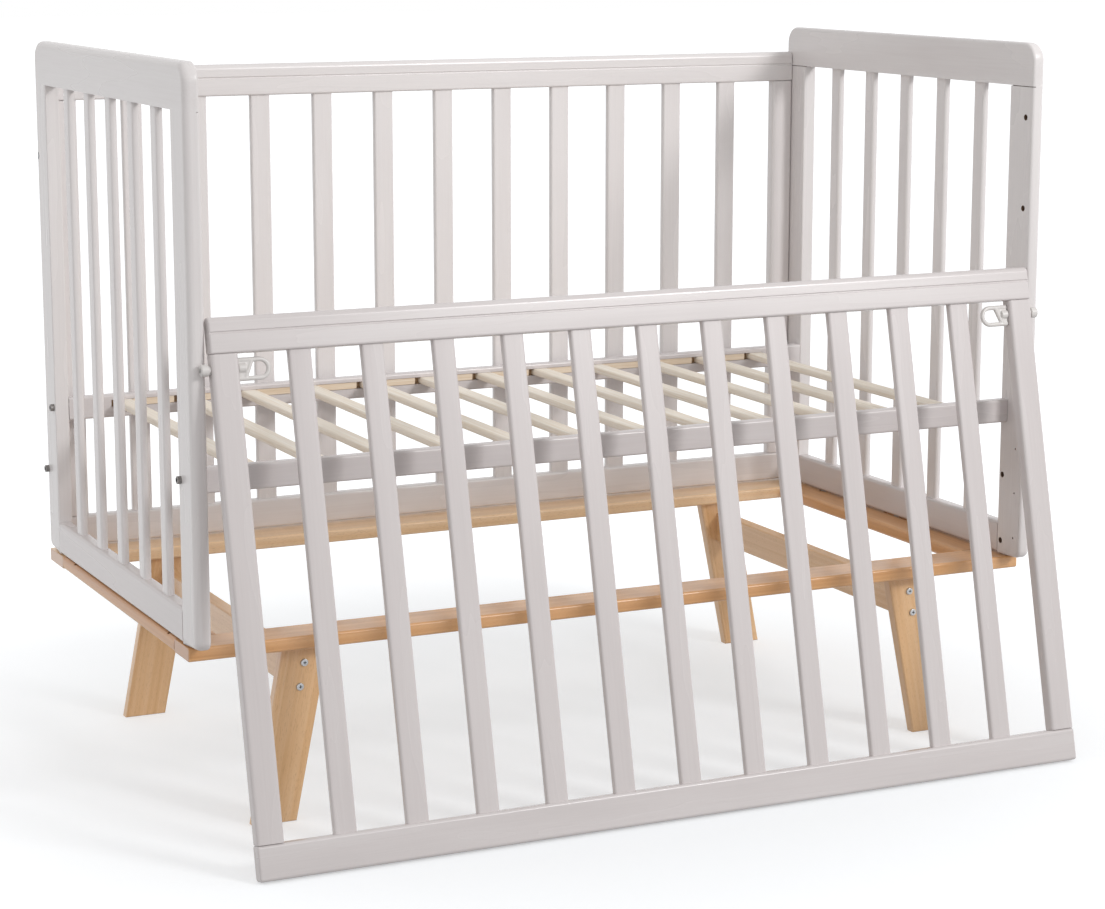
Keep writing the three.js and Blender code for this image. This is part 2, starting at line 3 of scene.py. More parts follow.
import bpy
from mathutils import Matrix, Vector


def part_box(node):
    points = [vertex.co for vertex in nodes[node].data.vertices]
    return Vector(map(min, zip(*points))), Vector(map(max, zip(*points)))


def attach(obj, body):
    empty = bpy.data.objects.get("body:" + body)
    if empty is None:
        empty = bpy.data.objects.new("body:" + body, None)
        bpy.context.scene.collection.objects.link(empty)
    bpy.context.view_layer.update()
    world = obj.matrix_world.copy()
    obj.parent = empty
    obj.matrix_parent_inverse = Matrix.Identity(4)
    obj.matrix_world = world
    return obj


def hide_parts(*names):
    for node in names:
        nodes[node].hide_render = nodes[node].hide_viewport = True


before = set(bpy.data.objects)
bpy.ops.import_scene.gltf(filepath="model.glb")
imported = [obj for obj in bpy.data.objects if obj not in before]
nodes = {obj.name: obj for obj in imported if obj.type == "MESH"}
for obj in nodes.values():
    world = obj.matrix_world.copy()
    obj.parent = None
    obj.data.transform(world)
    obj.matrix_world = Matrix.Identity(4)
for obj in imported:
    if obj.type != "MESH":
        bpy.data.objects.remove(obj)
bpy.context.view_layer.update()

# The camera stands to the left of the crib at chest height and looks a little down on it, with a
# short telephoto lens, as the photograph was taken.
CAMERA_PLACE = (-1.6662, -3.4970, 1.1467)
CAMERA_HEADING = 25.34
CAMERA_DIP = 10.75
CAMERA_LENS = 91.61
SENSOR_WIDTH = 36.0
LEVEL = 90.0

camera_data = bpy.data.cameras.new("studio_camera")
camera_data.lens = CAMERA_LENS
camera_data.sensor_width = SENSOR_WIDTH
camera = bpy.data.objects.new("studio_camera", camera_data)
camera.location = CAMERA_PLACE
camera.rotation_euler = (math.radians(LEVEL - CAMERA_DIP), 0, math.radians(-CAMERA_HEADING))
bpy.context.scene.collection.objects.link(camera)
bpy.context.scene.camera = camera
bpy.context.scene.view_settings.view_transform = "Standard"


# The studio: a pale seamless floor, a surround that is lighter at the sides than overhead, a soft
# box high in front behind a grid, which keeps it off the floor, and a fill card on the left.
FLOOR_HALF = 30.0
FLOOR_GREY = "c8cbce"
BOUNCE_GREY = "b8b8b8"
# The floor's glow is low near the crib, which paints a broad shade on the floor round it
LIFT_IN_PAINTED_SHADE = 0.44
LIFT_FAR = 0.80
LIFT_RISES = (0.35, 1.7)
SIDE_LIGHT = 0.95
CEILING_LIGHT = 0.50
KEY_PLACE = (2.6, -4.5, 3.2)
KEY_AIM = (0, 0.4, 0.78)
KEY_WIDTH = 1.3
KEY_WATTS = 15.5
KEY_SPREAD = 55.0
FILL_PLACE = (-2.3, -0.3, 1.7)
FILL_AIM = (-0.6, 0, 0.85)
FILL_WIDTH = 1.4
FILL_WATTS = 1.8
FILL_SPREAD = 120.0
WHITE = "ffffff"


def srgb(text):
    """Turns a written colour such as d8d3d2 into linear light."""
    parts = [int(text[at:at + 2], 16) / 255 for at in (0, 2, 4)]
    light = [p / 12.92 if p <= 0.04045 else ((p + 0.055) / 1.055) ** 2.4 for p in parts]
    return (*light, 1.0)


def add(tree, kind, values=None, links=None, **settings):
    """Adds one shader node with its settings, its fixed values and what feeds it."""
    made = tree.nodes.new(kind)
    for key, value in settings.items():
        setattr(made, key, value)
    for socket, value in (values or {}).items():
        made.inputs[socket].default_value = value
    for socket, source in (links or {}).items():
        tree.links.new(source, made.inputs[socket])
    return made


def new_finish(name):
    """Opens an empty material and gives it with its node tree."""
    finish = bpy.data.materials.new(name)
    finish.use_nodes = True
    finish.node_tree.nodes.clear()
    return finish, finish.node_tree


def seen_directly(tree):
    """One where the camera, a mirror or clear glass looks at a surface, and zero for its light."""
    path = add(tree, "ShaderNodeLightPath")
    eye = add(tree, "ShaderNodeMath", operation="MAXIMUM",
              links={0: path.outputs["Is Camera Ray"], 1: path.outputs["Is Glossy Ray"]})
    return add(tree, "ShaderNodeMath", links={0: eye.outputs[0], 1: path.outputs["Is Transmission Ray"]},
               operation="MAXIMUM").outputs[0]


bpy.ops.mesh.primitive_plane_add(size=2 * FLOOR_HALF, location=(0, 0, 0))
floor = bpy.context.active_object
floor.name = "studio_floor"

# Paper sweep: matt and even, lifted to white for the camera; the lift is held low near the crib, which
# paints a broad shade on the floor round it, and rises to white further out
paper, tree = new_finish("white_paper_sweep")
direct = seen_directly(tree)
grey = add(tree, "ShaderNodeMix", {6: srgb(BOUNCE_GREY), 7: srgb(FLOOR_GREY)}, {"Factor": direct},
           data_type="RGBA")
matte = add(tree, "ShaderNodeBsdfDiffuse", links={"Color": grey.outputs[2]})
spot = add(tree, "ShaderNodeTexCoord")
away = add(tree, "ShaderNodeVectorMath", links={0: spot.outputs["Object"]}, operation="LENGTH")
rise = add(tree, "ShaderNodeMapRange", {"From Min": LIFT_RISES[0], "From Max": LIFT_RISES[1],
                                        "To Min": LIFT_IN_PAINTED_SHADE, "To Max": LIFT_FAR},
           {"Value": away.outputs["Value"]}, interpolation_type="SMOOTHSTEP")
lift = add(tree, "ShaderNodeMath", links={0: direct, 1: rise.outputs[0]}, operation="MULTIPLY")
glow = add(tree, "ShaderNodeEmission", {"Color": srgb(WHITE)}, {"Strength": lift.outputs[0]})
both = add(tree, "ShaderNodeAddShader", links={0: matte.outputs[0], 1: glow.outputs[0]})
add(tree, "ShaderNodeOutputMaterial", links={"Surface": both.outputs[0]})
floor.data.materials.append(paper)

surround = bpy.data.worlds.new("white_surround")
bpy.context.scene.world = surround
surround.use_nodes = True
tree = surround.node_tree
tree.nodes.clear()
toward = add(tree, "ShaderNodeTexCoord")
height = add(tree, "ShaderNodeSeparateXYZ", links={0: toward.outputs["Generated"]})
fall = add(tree, "ShaderNodeMapRange", {"To Min": SIDE_LIGHT, "To Max": CEILING_LIGHT},
           {"Value": height.outputs["Z"]})
strength = add(tree, "ShaderNodeMix", {"B": 1.0}, {"Factor": seen_directly(tree), "A": fall.outputs[0]})
sky = add(tree, "ShaderNodeBackground", {"Color": srgb(WHITE)}, {"Strength": strength.outputs["Result"]})
add(tree, "ShaderNodeOutputWorld", links={"Surface": sky.outputs[0]})

for name, place, aim, width, watts, spread in (
        ("soft_box", KEY_PLACE, KEY_AIM, KEY_WIDTH, KEY_WATTS, KEY_SPREAD),
        ("fill_card", FILL_PLACE, FILL_AIM, FILL_WIDTH, FILL_WATTS, FILL_SPREAD)):
    lamp_data = bpy.data.lights.new(name, "AREA")
    lamp_data.shape = "SQUARE"
    lamp_data.size = width
    lamp_data.energy = watts
    lamp_data.spread = math.radians(spread)
    lamp = bpy.data.objects.new(name, lamp_data)
    bpy.context.scene.collection.objects.link(lamp)
    lamp.location = place
    lamp.rotation_euler = (Vector(aim) - Vector(place)).to_track_quat("-Z", "Y").to_euler()
    lamp.visible_camera = False


# End panels, made of solid birch boards under satin paint: a top rail with rounded shoulders lies
# across two posts, and five slats are glued between it and a foot rail. The outside edges are
# rounded over much further than the inside ones.
TINY = 0.0001
SHOULDER_RADIUS = 0.025
SHOULDER_STEPS = 10
OUTSIDE_EDGE = 0.009
INSIDE_EDGE = 0.004
OUTSIDE_STEPS = 6
EDGE_STEPS = 4
POST_CORNER = 0.012
CORNER_STEPS = 6
POST_MIDDLE_EDGE = 0.002
SEAM_WIDE = 0.0010
SEAM_DEEP = 0.004
FOOT_RAIL_TALL = 0.045
FOOT_RAIL_EDGE = 0.005
END_SLATS = 5
END_SLAT_WIDE = 0.026
END_SLAT_THICK = 0.010
END_SLAT_EDGE = 0.0042
TENON = 0.012
SEAT = 0.0003
SMOOTH_ANGLE = 35.0
HOLE_RADIUS = 0.00425
HOLE_DEEP = 0.014
PILOT_RADIUS = 0.0014
PILOT_DEEP = 0.003
OVERRUN = 0.002
TURNED_SIDES = 32
LATCH_HOLE_IN = 0.016
LATCH_HOLES_UP = (0.879, 0.753)
PILOT_HOLES_UP = (0.412, 0.348, 0.283)
BASE_HOLES_UP = (0.274, 0.370)
BASE_RAIL_FROM_EDGE = 0.0465
PANEL_INSIDE = 0.600
PANEL_OUTSIDE = 0.620

PAINT = "e0dbda"
PAINT_DARK = "dbd5d4"
PAINT_LIGHT = "e4dfde"
# A darker paint for the end panels' foot rails: painted shade, low down near the floor
SHADED_FOOT_PAINT = "d1c9c8"
SHADED_FOOT_PAINT_DARK = "ccc4c3"
SHADED_FOOT_PAINT_LIGHT = "d5cecd"
# Painted highlight: a lighter colour mixed in on the rounded edges
PAINT_EDGE_HIGHLIGHT = "eae5e4"
STREAK_WIDE = 0.003
STREAK_LONG = 0.140
CLOUD_WIDE = 0.045
CLOUD_LONG = 0.350
PEEL_SIZE = 0.0012
GRAIN_DEEP = 0.00012
BOARD_SHIFTS = (3.1, 5.7, 4.3)
CLOUD_SHARE = 0.6
STREAK_TONES = (0.32, 0.5, 0.68)
STREAK_BUMP = 0.25
PEEL_BUMP = 0.10
EDGE_HIGHLIGHT_FROM = 0.52
EDGE_HIGHLIGHT_FULL = 0.62
EDGE_HIGHLIGHT_SHARE = 0.3
CLOUD_SPAN = (0.3, 0.7)
PAINT_ROUGH = (0.22, 0.30)
PAINT_IOR = 1.5


def stretch_scale(along, wide, long):
    """The scale that draws a pattern this wide and, along one axis, this long."""
    return tuple(1 / long if axis == along else 1 / wide for axis in "XYZ")


def painted_wood(name, along, dark=PAINT_DARK, plain=PAINT, light=PAINT_LIGHT, lean=0.0, pivot=(0, 0, 0)):
    """Satin paint brushed and sanded on birch: the grain shows through the film as faint lengthwise streaks,
    a painted highlight makes the rounded edges lighter, and the gloss is slightly uneven.
    The streaks are drawn 3 mm wide, wider than the grain of birch, so that they show."""
    finish, tree = new_finish(name)
    place = add(tree, "ShaderNodeTexCoord")
    upright = add(tree, "ShaderNodeMapping", {"Location": pivot, "Rotation": (-lean, 0, 0)},
                  {"Vector": place.outputs["Object"]}, vector_type="TEXTURE")
    shape = add(tree, "ShaderNodeNewGeometry")
    own = add(tree, "ShaderNodeVectorMath", {1: BOARD_SHIFTS}, {0: shape.outputs["Random Per Island"]},
              operation="MULTIPLY")
    shifted = add(tree, "ShaderNodeVectorMath", links={0: upright.outputs[0], 1: own.outputs[0]})
    fine = add(tree, "ShaderNodeMapping", {"Scale": stretch_scale(along, STREAK_WIDE, STREAK_LONG)},
               {"Vector": shifted.outputs[0]})
    streaks = add(tree, "ShaderNodeTexNoise", {"Scale": 1.0, "Detail": 3.0, "Roughness": 0.6},
                  {"Vector": fine.outputs[0]})
    wide = add(tree, "ShaderNodeMapping", {"Scale": stretch_scale(along, CLOUD_WIDE, CLOUD_LONG)},
               {"Vector": shifted.outputs[0]})
    clouds = add(tree, "ShaderNodeTexNoise", {"Scale": 1.0, "Detail": 2.0}, {"Vector": wide.outputs[0]})
    blend = add(tree, "ShaderNodeMix", {"Factor": CLOUD_SHARE},
                {"A": streaks.outputs[0], "B": clouds.outputs[0]})
    tone = add(tree, "ShaderNodeValToRGB", links={"Fac": blend.outputs["Result"]})
    stops = tone.color_ramp.elements
    stops.new(STREAK_TONES[1])
    for stop, at, colour in zip(stops, STREAK_TONES, (dark, plain, light)):
        stop.position = at
        stop.color = srgb(colour)
    # Painted highlight: the rounded edges, found by their pointiness, are mixed toward the lighter colour
    edge = add(tree, "ShaderNodeMapRange", links={"Value": shape.outputs["Pointiness"]},
               values={"From Min": EDGE_HIGHLIGHT_FROM, "From Max": EDGE_HIGHLIGHT_FULL, "To Max": EDGE_HIGHLIGHT_SHARE})
    highlighted_edges = add(tree, "ShaderNodeMix", {7: srgb(PAINT_EDGE_HIGHLIGHT)}, {"Factor": edge.outputs[0], 6: tone.outputs[0]},
               data_type="RGBA")
    gloss = add(tree, "ShaderNodeMapRange", links={"Value": clouds.outputs[0]},
                values={"From Min": CLOUD_SPAN[0], "From Max": CLOUD_SPAN[1],
                        "To Min": PAINT_ROUGH[0], "To Max": PAINT_ROUGH[1]})
    peel = add(tree, "ShaderNodeTexNoise", {"Scale": 1 / PEEL_SIZE, "Detail": 1.0},
               {"Vector": upright.outputs[0]})
    skin = add(tree, "ShaderNodeBump", {"Strength": PEEL_BUMP, "Distance": GRAIN_DEEP},
               {"Height": peel.outputs[0]})
    ridges = add(tree, "ShaderNodeBump", {"Strength": STREAK_BUMP, "Distance": GRAIN_DEEP},
                 {"Height": streaks.outputs[0], "Normal": skin.outputs[0]})
    surface = add(tree, "ShaderNodeBsdfPrincipled", {"IOR": PAINT_IOR},
                  {"Base Color": highlighted_edges.outputs[2], "Roughness": gloss.outputs[0],
                   "Normal": ridges.outputs[0]})
    add(tree, "ShaderNodeOutputMaterial", links={"Surface": surface.outputs[0]})
    return finish


paint_along_x = painted_wood("satin_paint_on_birch_along_x", "X")
paint_along_y = painted_wood("satin_paint_on_birch_along_y", "Y")
paint_upright = painted_wood("satin_paint_on_birch_upright", "Z")
shaded_foot_paint = painted_wood("satin_paint_on_birch_foot_rails", "Y", SHADED_FOOT_PAINT_DARK, SHADED_FOOT_PAINT,
                          SHADED_FOOT_PAINT_LIGHT)

# Bare wood in the drilled holes and the saw cuts: torn fibres in dark browns that paint the shade inside,
# without any gloss
HOLE_SHADE_WOOD = "8a6f58"
HOLE_SHADE_WOOD_DARK = "5f4a3a"
HOLE_ROUGH = 0.85
hole_shade_wood, tree = new_finish("bare_wood_in_a_drilled_hole")
place = add(tree, "ShaderNodeTexCoord")
fuzz = add(tree, "ShaderNodeTexNoise", {"Scale": 1 / PEEL_SIZE, "Detail": 2.0},
           {"Vector": place.outputs["Object"]})
torn = add(tree, "ShaderNodeMix", {6: srgb(HOLE_SHADE_WOOD_DARK), 7: srgb(HOLE_SHADE_WOOD)},
           {"Factor": fuzz.outputs[0]}, data_type="RGBA")
surface = add(tree, "ShaderNodeBsdfPrincipled", {"Roughness": HOLE_ROUGH}, {"Base Color": torn.outputs[2]})
add(tree, "ShaderNodeOutputMaterial", links={"Surface": surface.outputs[0]})


def near(a, b):
    return abs(a - b) < TINY


def pick_only(piece):
    """Leaves one piece selected and active."""
    bpy.ops.object.select_all(action="DESELECT")
    piece.select_set(True)
    bpy.context.view_layer.objects.active = piece


def blank(name, low, high, finish):
    """Saws a block to its size and place."""
    bpy.ops.object.select_all(action="DESELECT")
    size = [h - l for l, h in zip(low, high)]
    middle = [(l + h) / 2 for l, h in zip(low, high)]
    bpy.ops.mesh.primitive_cube_add(size=1, location=middle, scale=size)
    piece = bpy.context.active_object
    piece.name = name
    bpy.ops.object.transform_apply(location=True, rotation=True, scale=True)
    piece.data.materials.append(finish)
    return piece


def pick_edges(piece, wanted):
    """Goes into edit mode with the edges selected whose two ends pass a test."""
    pick_only(piece)
    bpy.ops.object.mode_set(mode="EDIT")
    bpy.ops.mesh.select_mode(type="EDGE")
    bpy.ops.mesh.select_all(action="DESELECT")
    bpy.ops.object.mode_set(mode="OBJECT")
    for edge in piece.data.edges:
        first, last = (piece.data.vertices[index].co for index in edge.vertices)
        edge.select = wanted(first, last)
    bpy.ops.object.mode_set(mode="EDIT")


def round_over(piece, radius, steps, wanted):
    """Rounds the chosen edges."""
    pick_edges(piece, wanted)
    bpy.ops.mesh.bevel(offset=radius, segments=steps, affect="EDGES")
    bpy.ops.object.mode_set(mode="OBJECT")


def sand(piece):
    """Evens the light over flats and rounded edges."""
    pick_only(piece)
    bpy.ops.object.shade_smooth_by_angle(angle=math.radians(SMOOTH_ANGLE))
    even = piece.modifiers.new("even_light", "WEIGHTED_NORMAL")
    even.keep_sharp = True
    bpy.ops.object.modifier_apply(modifier=even.name)


def bar(name, radius, start, end, finish, sides=TURNED_SIDES):
    """Turns a round bar between two points."""
    bpy.ops.object.select_all(action="DESELECT")
    start, end = Vector(start), Vector(end)
    bpy.ops.mesh.primitive_cylinder_add(vertices=sides, radius=radius, depth=(end - start).length,
                                        location=(start + end) / 2,
                                        rotation=(end - start).to_track_quat("Z", "Y").to_euler())
    piece = bpy.context.active_object
    piece.name = name
    bpy.ops.object.transform_apply(location=True, rotation=True, scale=True)
    piece.data.materials.append(finish)
    return piece


def bore(piece, *cutters):
    """Cuts the cutters out of a piece."""
    for cutter in cutters:
        pick_only(piece)
        cut = piece.modifiers.new("bore", "BOOLEAN")
        cut.operation = "DIFFERENCE"
        cut.solver = "EXACT"
        cut.material_mode = "TRANSFER"
        cut.object = cutter
        bpy.ops.object.modifier_apply(modifier=cut.name)
        bpy.data.objects.remove(cutter)


def another(piece, name, shift):
    """Makes a copy with its own mesh, moved aside."""
    pick_only(piece)
    bpy.ops.object.duplicate(linked=False)
    copy = bpy.context.active_object
    copy.name = name
    copy.location = shift
    bpy.ops.object.transform_apply(location=True, rotation=True, scale=True)
    return copy


def glue(name, parts):
    """Joins parts into one piece."""
    bpy.ops.object.select_all(action="DESELECT")
    for part in parts:
        part.select_set(True)
    bpy.context.view_layer.objects.active = parts[0]
    bpy.ops.object.join()
    parts[0].name = name
    return parts[0]


def fit(piece, body, slot, *stands_for):
    """Hands a finished piece to the body that it moves with."""
    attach(piece, body)
    if stands_for:
        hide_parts(*stands_for)


def slat_middles(count, wide, low, high):
    """Middles of a row of slats with equal gaps between two edges."""
    gap = (high - low - count * wide) / (count + 1)
    return [low + gap + wide / 2 + index * (gap + wide) for index in range(count)]


for side, sign in (("left", -1), ("right", 1)):
    inside, outside = sign * PANEL_INSIDE, sign * PANEL_OUTSIDE
    near_x, far_x = sorted((inside, outside))
    rail_low, rail_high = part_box(f"{side}_end_top_rail")
    rail = blank(f"painted_{side}_end_top_rail", (near_x, rail_low.y, rail_low.z),
                 (far_x, rail_high.y, rail_high.z), paint_along_y)
    round_over(rail, SHOULDER_RADIUS, SHOULDER_STEPS,
               lambda a, b: near(a.y, b.y) and near(a.z, rail_high.z) and near(b.z, rail_high.z))
    panel_edges = ((outside, OUTSIDE_EDGE, OUTSIDE_STEPS), (inside, INSIDE_EDGE, EDGE_STEPS))
    for face_x, radius, steps in panel_edges:
        round_over(rail, radius, steps, lambda a, b: near(a.x, face_x) and near(b.x, face_x)
                   and not (near(a.z, rail_low.z) and near(b.z, rail_low.z)))
    sand(rail)
    fit(rail, "crib", "painted_wood", f"{side}_end_top_rail")
    for face, toward_face in (("front", -1), ("back", 1)):
        low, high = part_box(f"{side}_{face}_post")
        outer_y, middle_y = (low.y, high.y) if toward_face < 0 else (high.y, low.y)
        top = rail_low.z
        post = blank(f"painted_{side}_{face}_post", (near_x, low.y, low.z), (far_x, high.y, top),
                     paint_upright)
        round_over(post, POST_CORNER, CORNER_STEPS, lambda a, b: near(a.y, outer_y)
                   and near(b.y, outer_y) and near(a.z, low.z) and near(b.z, low.z))
        round_over(post, POST_MIDDLE_EDGE, EDGE_STEPS,
                   lambda a, b: near(a.y, middle_y) and near(b.y, middle_y) and near(a.x, b.x))
        for face_x, radius, steps in panel_edges:
            round_over(post, radius, steps, lambda a, b: near(a.x, face_x) and near(b.x, face_x)
                       and not (near(a.z, top) and near(b.z, top))
                       and abs(a.y - middle_y) > POST_MIDDLE_EDGE + TINY
                       or near(a.x, face_x) and near(b.x, face_x) and near(a.z, low.z) and near(b.z, low.z))
        # The fine dark seam between post and rail, which shows on the inside; its cut faces take the dark
        # brown of the holes, painted shade
        cut_near, cut_far = sorted((sign * (PANEL_INSIDE - OVERRUN), sign * (PANEL_INSIDE + SEAM_DEEP)))
        seam_saw = blank("seam_saw", (cut_near, low.y - OVERRUN, top - SEAM_WIDE),
                         (cut_far, high.y + OVERRUN, top + OVERRUN), hole_shade_wood)
        bolt_y = outer_y - toward_face * BASE_RAIL_FROM_EDGE
        places = [(bolt_y, up, HOLE_RADIUS, HOLE_DEEP) for up in BASE_HOLES_UP]
        if toward_face < 0:
            line_y = outer_y + LATCH_HOLE_IN
            places += [(line_y, up, HOLE_RADIUS, HOLE_DEEP) for up in LATCH_HOLES_UP]
            places += [(line_y, up, PILOT_RADIUS, PILOT_DEEP) for up in PILOT_HOLES_UP]
        bore(post, seam_saw, *[bar("drill", radius, (sign * (PANEL_INSIDE - OVERRUN), y, z),
                                   (sign * (PANEL_INSIDE + deep), y, z), hole_shade_wood)
                               for y, z, radius, deep in places])
        sand(post)
        fit(post, "crib", "painted_wood", f"{side}_{face}_post")
    low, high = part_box(f"{side}_end_grille")
    foot_top = low.z + FOOT_RAIL_TALL
    # The foot rail takes the darker paint, which paints the shade low down
    foot = blank(f"painted_{side}_end_grille", (near_x, low.y, low.z), (far_x, high.y, foot_top),
                 shaded_foot_paint)
    round_over(foot, FOOT_RAIL_EDGE, EDGE_STEPS, lambda a, b: near(a.x, b.x) and near(a.z, b.z))
    middle_x = (inside + outside) / 2
    rows = slat_middles(END_SLATS, END_SLAT_WIDE, low.y, high.y)
    slat = blank("end_slat",
                 (middle_x - END_SLAT_THICK / 2, rows[0] - END_SLAT_WIDE / 2, foot_top - TENON),
                 (middle_x + END_SLAT_THICK / 2, rows[0] + END_SLAT_WIDE / 2, high.z + 2 * SEAT),
                 paint_upright)
    round_over(slat, END_SLAT_EDGE, EDGE_STEPS, lambda a, b: not near(a.z, b.z))
    slats = [slat] + [another(slat, "end_slat", (0, y - rows[0], 0)) for y in rows[1:]]
    comb = glue(foot.name, [foot, *slats])
    sand(comb)
    fit(comb, "crib", "painted_wood", f"{side}_end_grille")


# Back panel, made like the end panels: a handrail with a groove routed along both faces, a stile at
# each end, and eleven slats glued between the handrail and a foot rail.
SIDE_SLATS = 11
SIDE_SLAT_WIDE = 0.030
SIDE_SLAT_THICK = 0.011
SIDE_SLAT_EDGE = 0.0035
SIDE_FOOT_RAIL_TALL = 0.0445
STILE_WIDE = 0.035
SIDE_EDGE = 0.0045
END_EDGE = 0.0025
GROOVE_DOWN = 0.0195
GROOVE_RADIUS = 0.0018
GROOVE_OUT = 0.0004
GROOVE_SIDES = 16
RAIL_TOP_RADIUS = 0.008
RAIL_TOP_STEPS = 8
RAIL_FOOT_RADIUS = 0.003


def handrail(name, low, high, finish):
    """Moulds a handrail: a rounded top, eased ends and a groove routed along both faces."""
    rail = blank(name, low, high, finish)
    round_over(rail, RAIL_TOP_RADIUS, RAIL_TOP_STEPS,
               lambda a, b: near(a.z, high[2]) and near(b.z, high[2]) and near(a.y, b.y))
    round_over(rail, RAIL_FOOT_RADIUS, EDGE_STEPS,
               lambda a, b: near(a.z, low[2]) and near(b.z, low[2]) and near(a.y, b.y))
    round_over(rail, END_EDGE, EDGE_STEPS,
               lambda a, b: near(a.x, b.x) and (near(a.x, low[0]) or near(a.x, high[0])))
    groove = high[2] - GROOVE_DOWN
    for line_y in (low[1] - GROOVE_OUT, high[1] + GROOVE_OUT):
        bore(rail, bar("router", GROOVE_RADIUS, (low[0] - OVERRUN, line_y, groove),
                       (high[0] + OVERRUN, line_y, groove), finish, GROOVE_SIDES))
    return rail


def stile(name, low, high, finish):
    """Planes a stile and rounds its long edges."""
    piece = blank(name, low, high, finish)
    round_over(piece, SIDE_EDGE, EDGE_STEPS, lambda a, b: not near(a.z, b.z))
    return piece


def side_comb(name, low, high, upright_finish, long_finish):
    """Glues up a foot rail and eleven slats; low and high are the corners of the whole comb."""
    foot_top = low[2] + SIDE_FOOT_RAIL_TALL
    foot = blank(name, low, (high[0], high[1], foot_top), long_finish)
    round_over(foot, SIDE_EDGE, EDGE_STEPS, lambda a, b: near(a.z, b.z) and near(a.y, b.y))
    round_over(foot, END_EDGE, EDGE_STEPS,
               lambda a, b: near(a.x, b.x) and (near(a.x, low[0]) or near(a.x, high[0])))
    columns = slat_middles(SIDE_SLATS, SIDE_SLAT_WIDE, low[0] + STILE_WIDE, high[0] - STILE_WIDE)
    middle_y = (low[1] + high[1]) / 2
    slat = blank("side_slat",
                 (columns[0] - SIDE_SLAT_WIDE / 2, middle_y - SIDE_SLAT_THICK / 2, foot_top - TENON),
                 (columns[0] + SIDE_SLAT_WIDE / 2, middle_y + SIDE_SLAT_THICK / 2, high[2] + 2 * SEAT),
                 upright_finish)
    round_over(slat, SIDE_SLAT_EDGE, EDGE_STEPS, lambda a, b: not near(a.z, b.z))
    slats = [slat] + [another(slat, "side_slat", (x - columns[0], 0, 0)) for x in columns[1:]]
    return glue(name, [foot, *slats])


rail = handrail("painted_back_handrail", *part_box("back_top_rail"), paint_along_x)
sand(rail)
fit(rail, "crib", "painted_wood", "back_top_rail")
for side in ("left", "right"):
    piece = stile(f"painted_back_{side}_stile", *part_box(f"back_{side}_stile"), paint_upright)
    sand(piece)
    fit(piece, "crib", "painted_wood", f"back_{side}_stile")
comb = side_comb("painted_back_grille", *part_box("back_grille"), paint_upright, paint_along_x)
sand(comb)
fit(comb, "crib", "painted_wood", "back_grille")


# Mattress base: two painted rails are bolted between the end panels. Twelve bare birch slats lie in a
# groove along the inside of each, held apart by short birch spacers that leave a gap beside each slat.
# A darker paint for the base rails: painted shade inside the crib
SHADED_BASE_PAINT = "cfc8c7"
SHADED_BASE_PAINT_DARK = "cac3c2"
SHADED_BASE_PAINT_LIGHT = "d3cdcc"
BASE_RAIL_EDGE = 0.0035
BASE_SLAT_EDGE = 0.003
BASE_SLATS = 12
BASE_GROOVE_DEEP = 0.008
BASE_GROOVE_FROM = 0.0147
BASE_GROOVE_TO = 0.0253
SPACER_GAP = 0.007
SPACER_BACK = 0.0015
SPACER_EDGE = 0.0008
BIRCH = "f4eadb"
BIRCH_DARK = "e8d9c3"
BIRCH_LIGHT = "faf4ea"
BIRCH_END = "cdb48c"
SPACER_BIRCH = "e6d3bb"
SPACER_DARK = "d9c2a5"
SPACER_LIGHT = "ecdecb"
# The groove's bare birch is coloured dark brown, which paints the shade in the groove and in the gaps beside
# the slats
GROOVE_SHADE_WOOD = "a58768"
GROOVE_SHADE_WOOD_DARK = "8d6f52"
GROOVE_SHADE_WOOD_LIGHT = "b59878"
LINE_WIDE = 0.0025
LINE_LONG = 0.160
LINE_TONES = (0.30, 0.5, 0.70)
LINE_BUMP = 0.5
BIRCH_SHIFTS = (2.3, 7.1, 3.9)
BIRCH_SAWN = (0.8, 0.95)
BIRCH_ROUGH = 0.6
BIRCH_IOR = 1.5
FINE_STEPS = 2


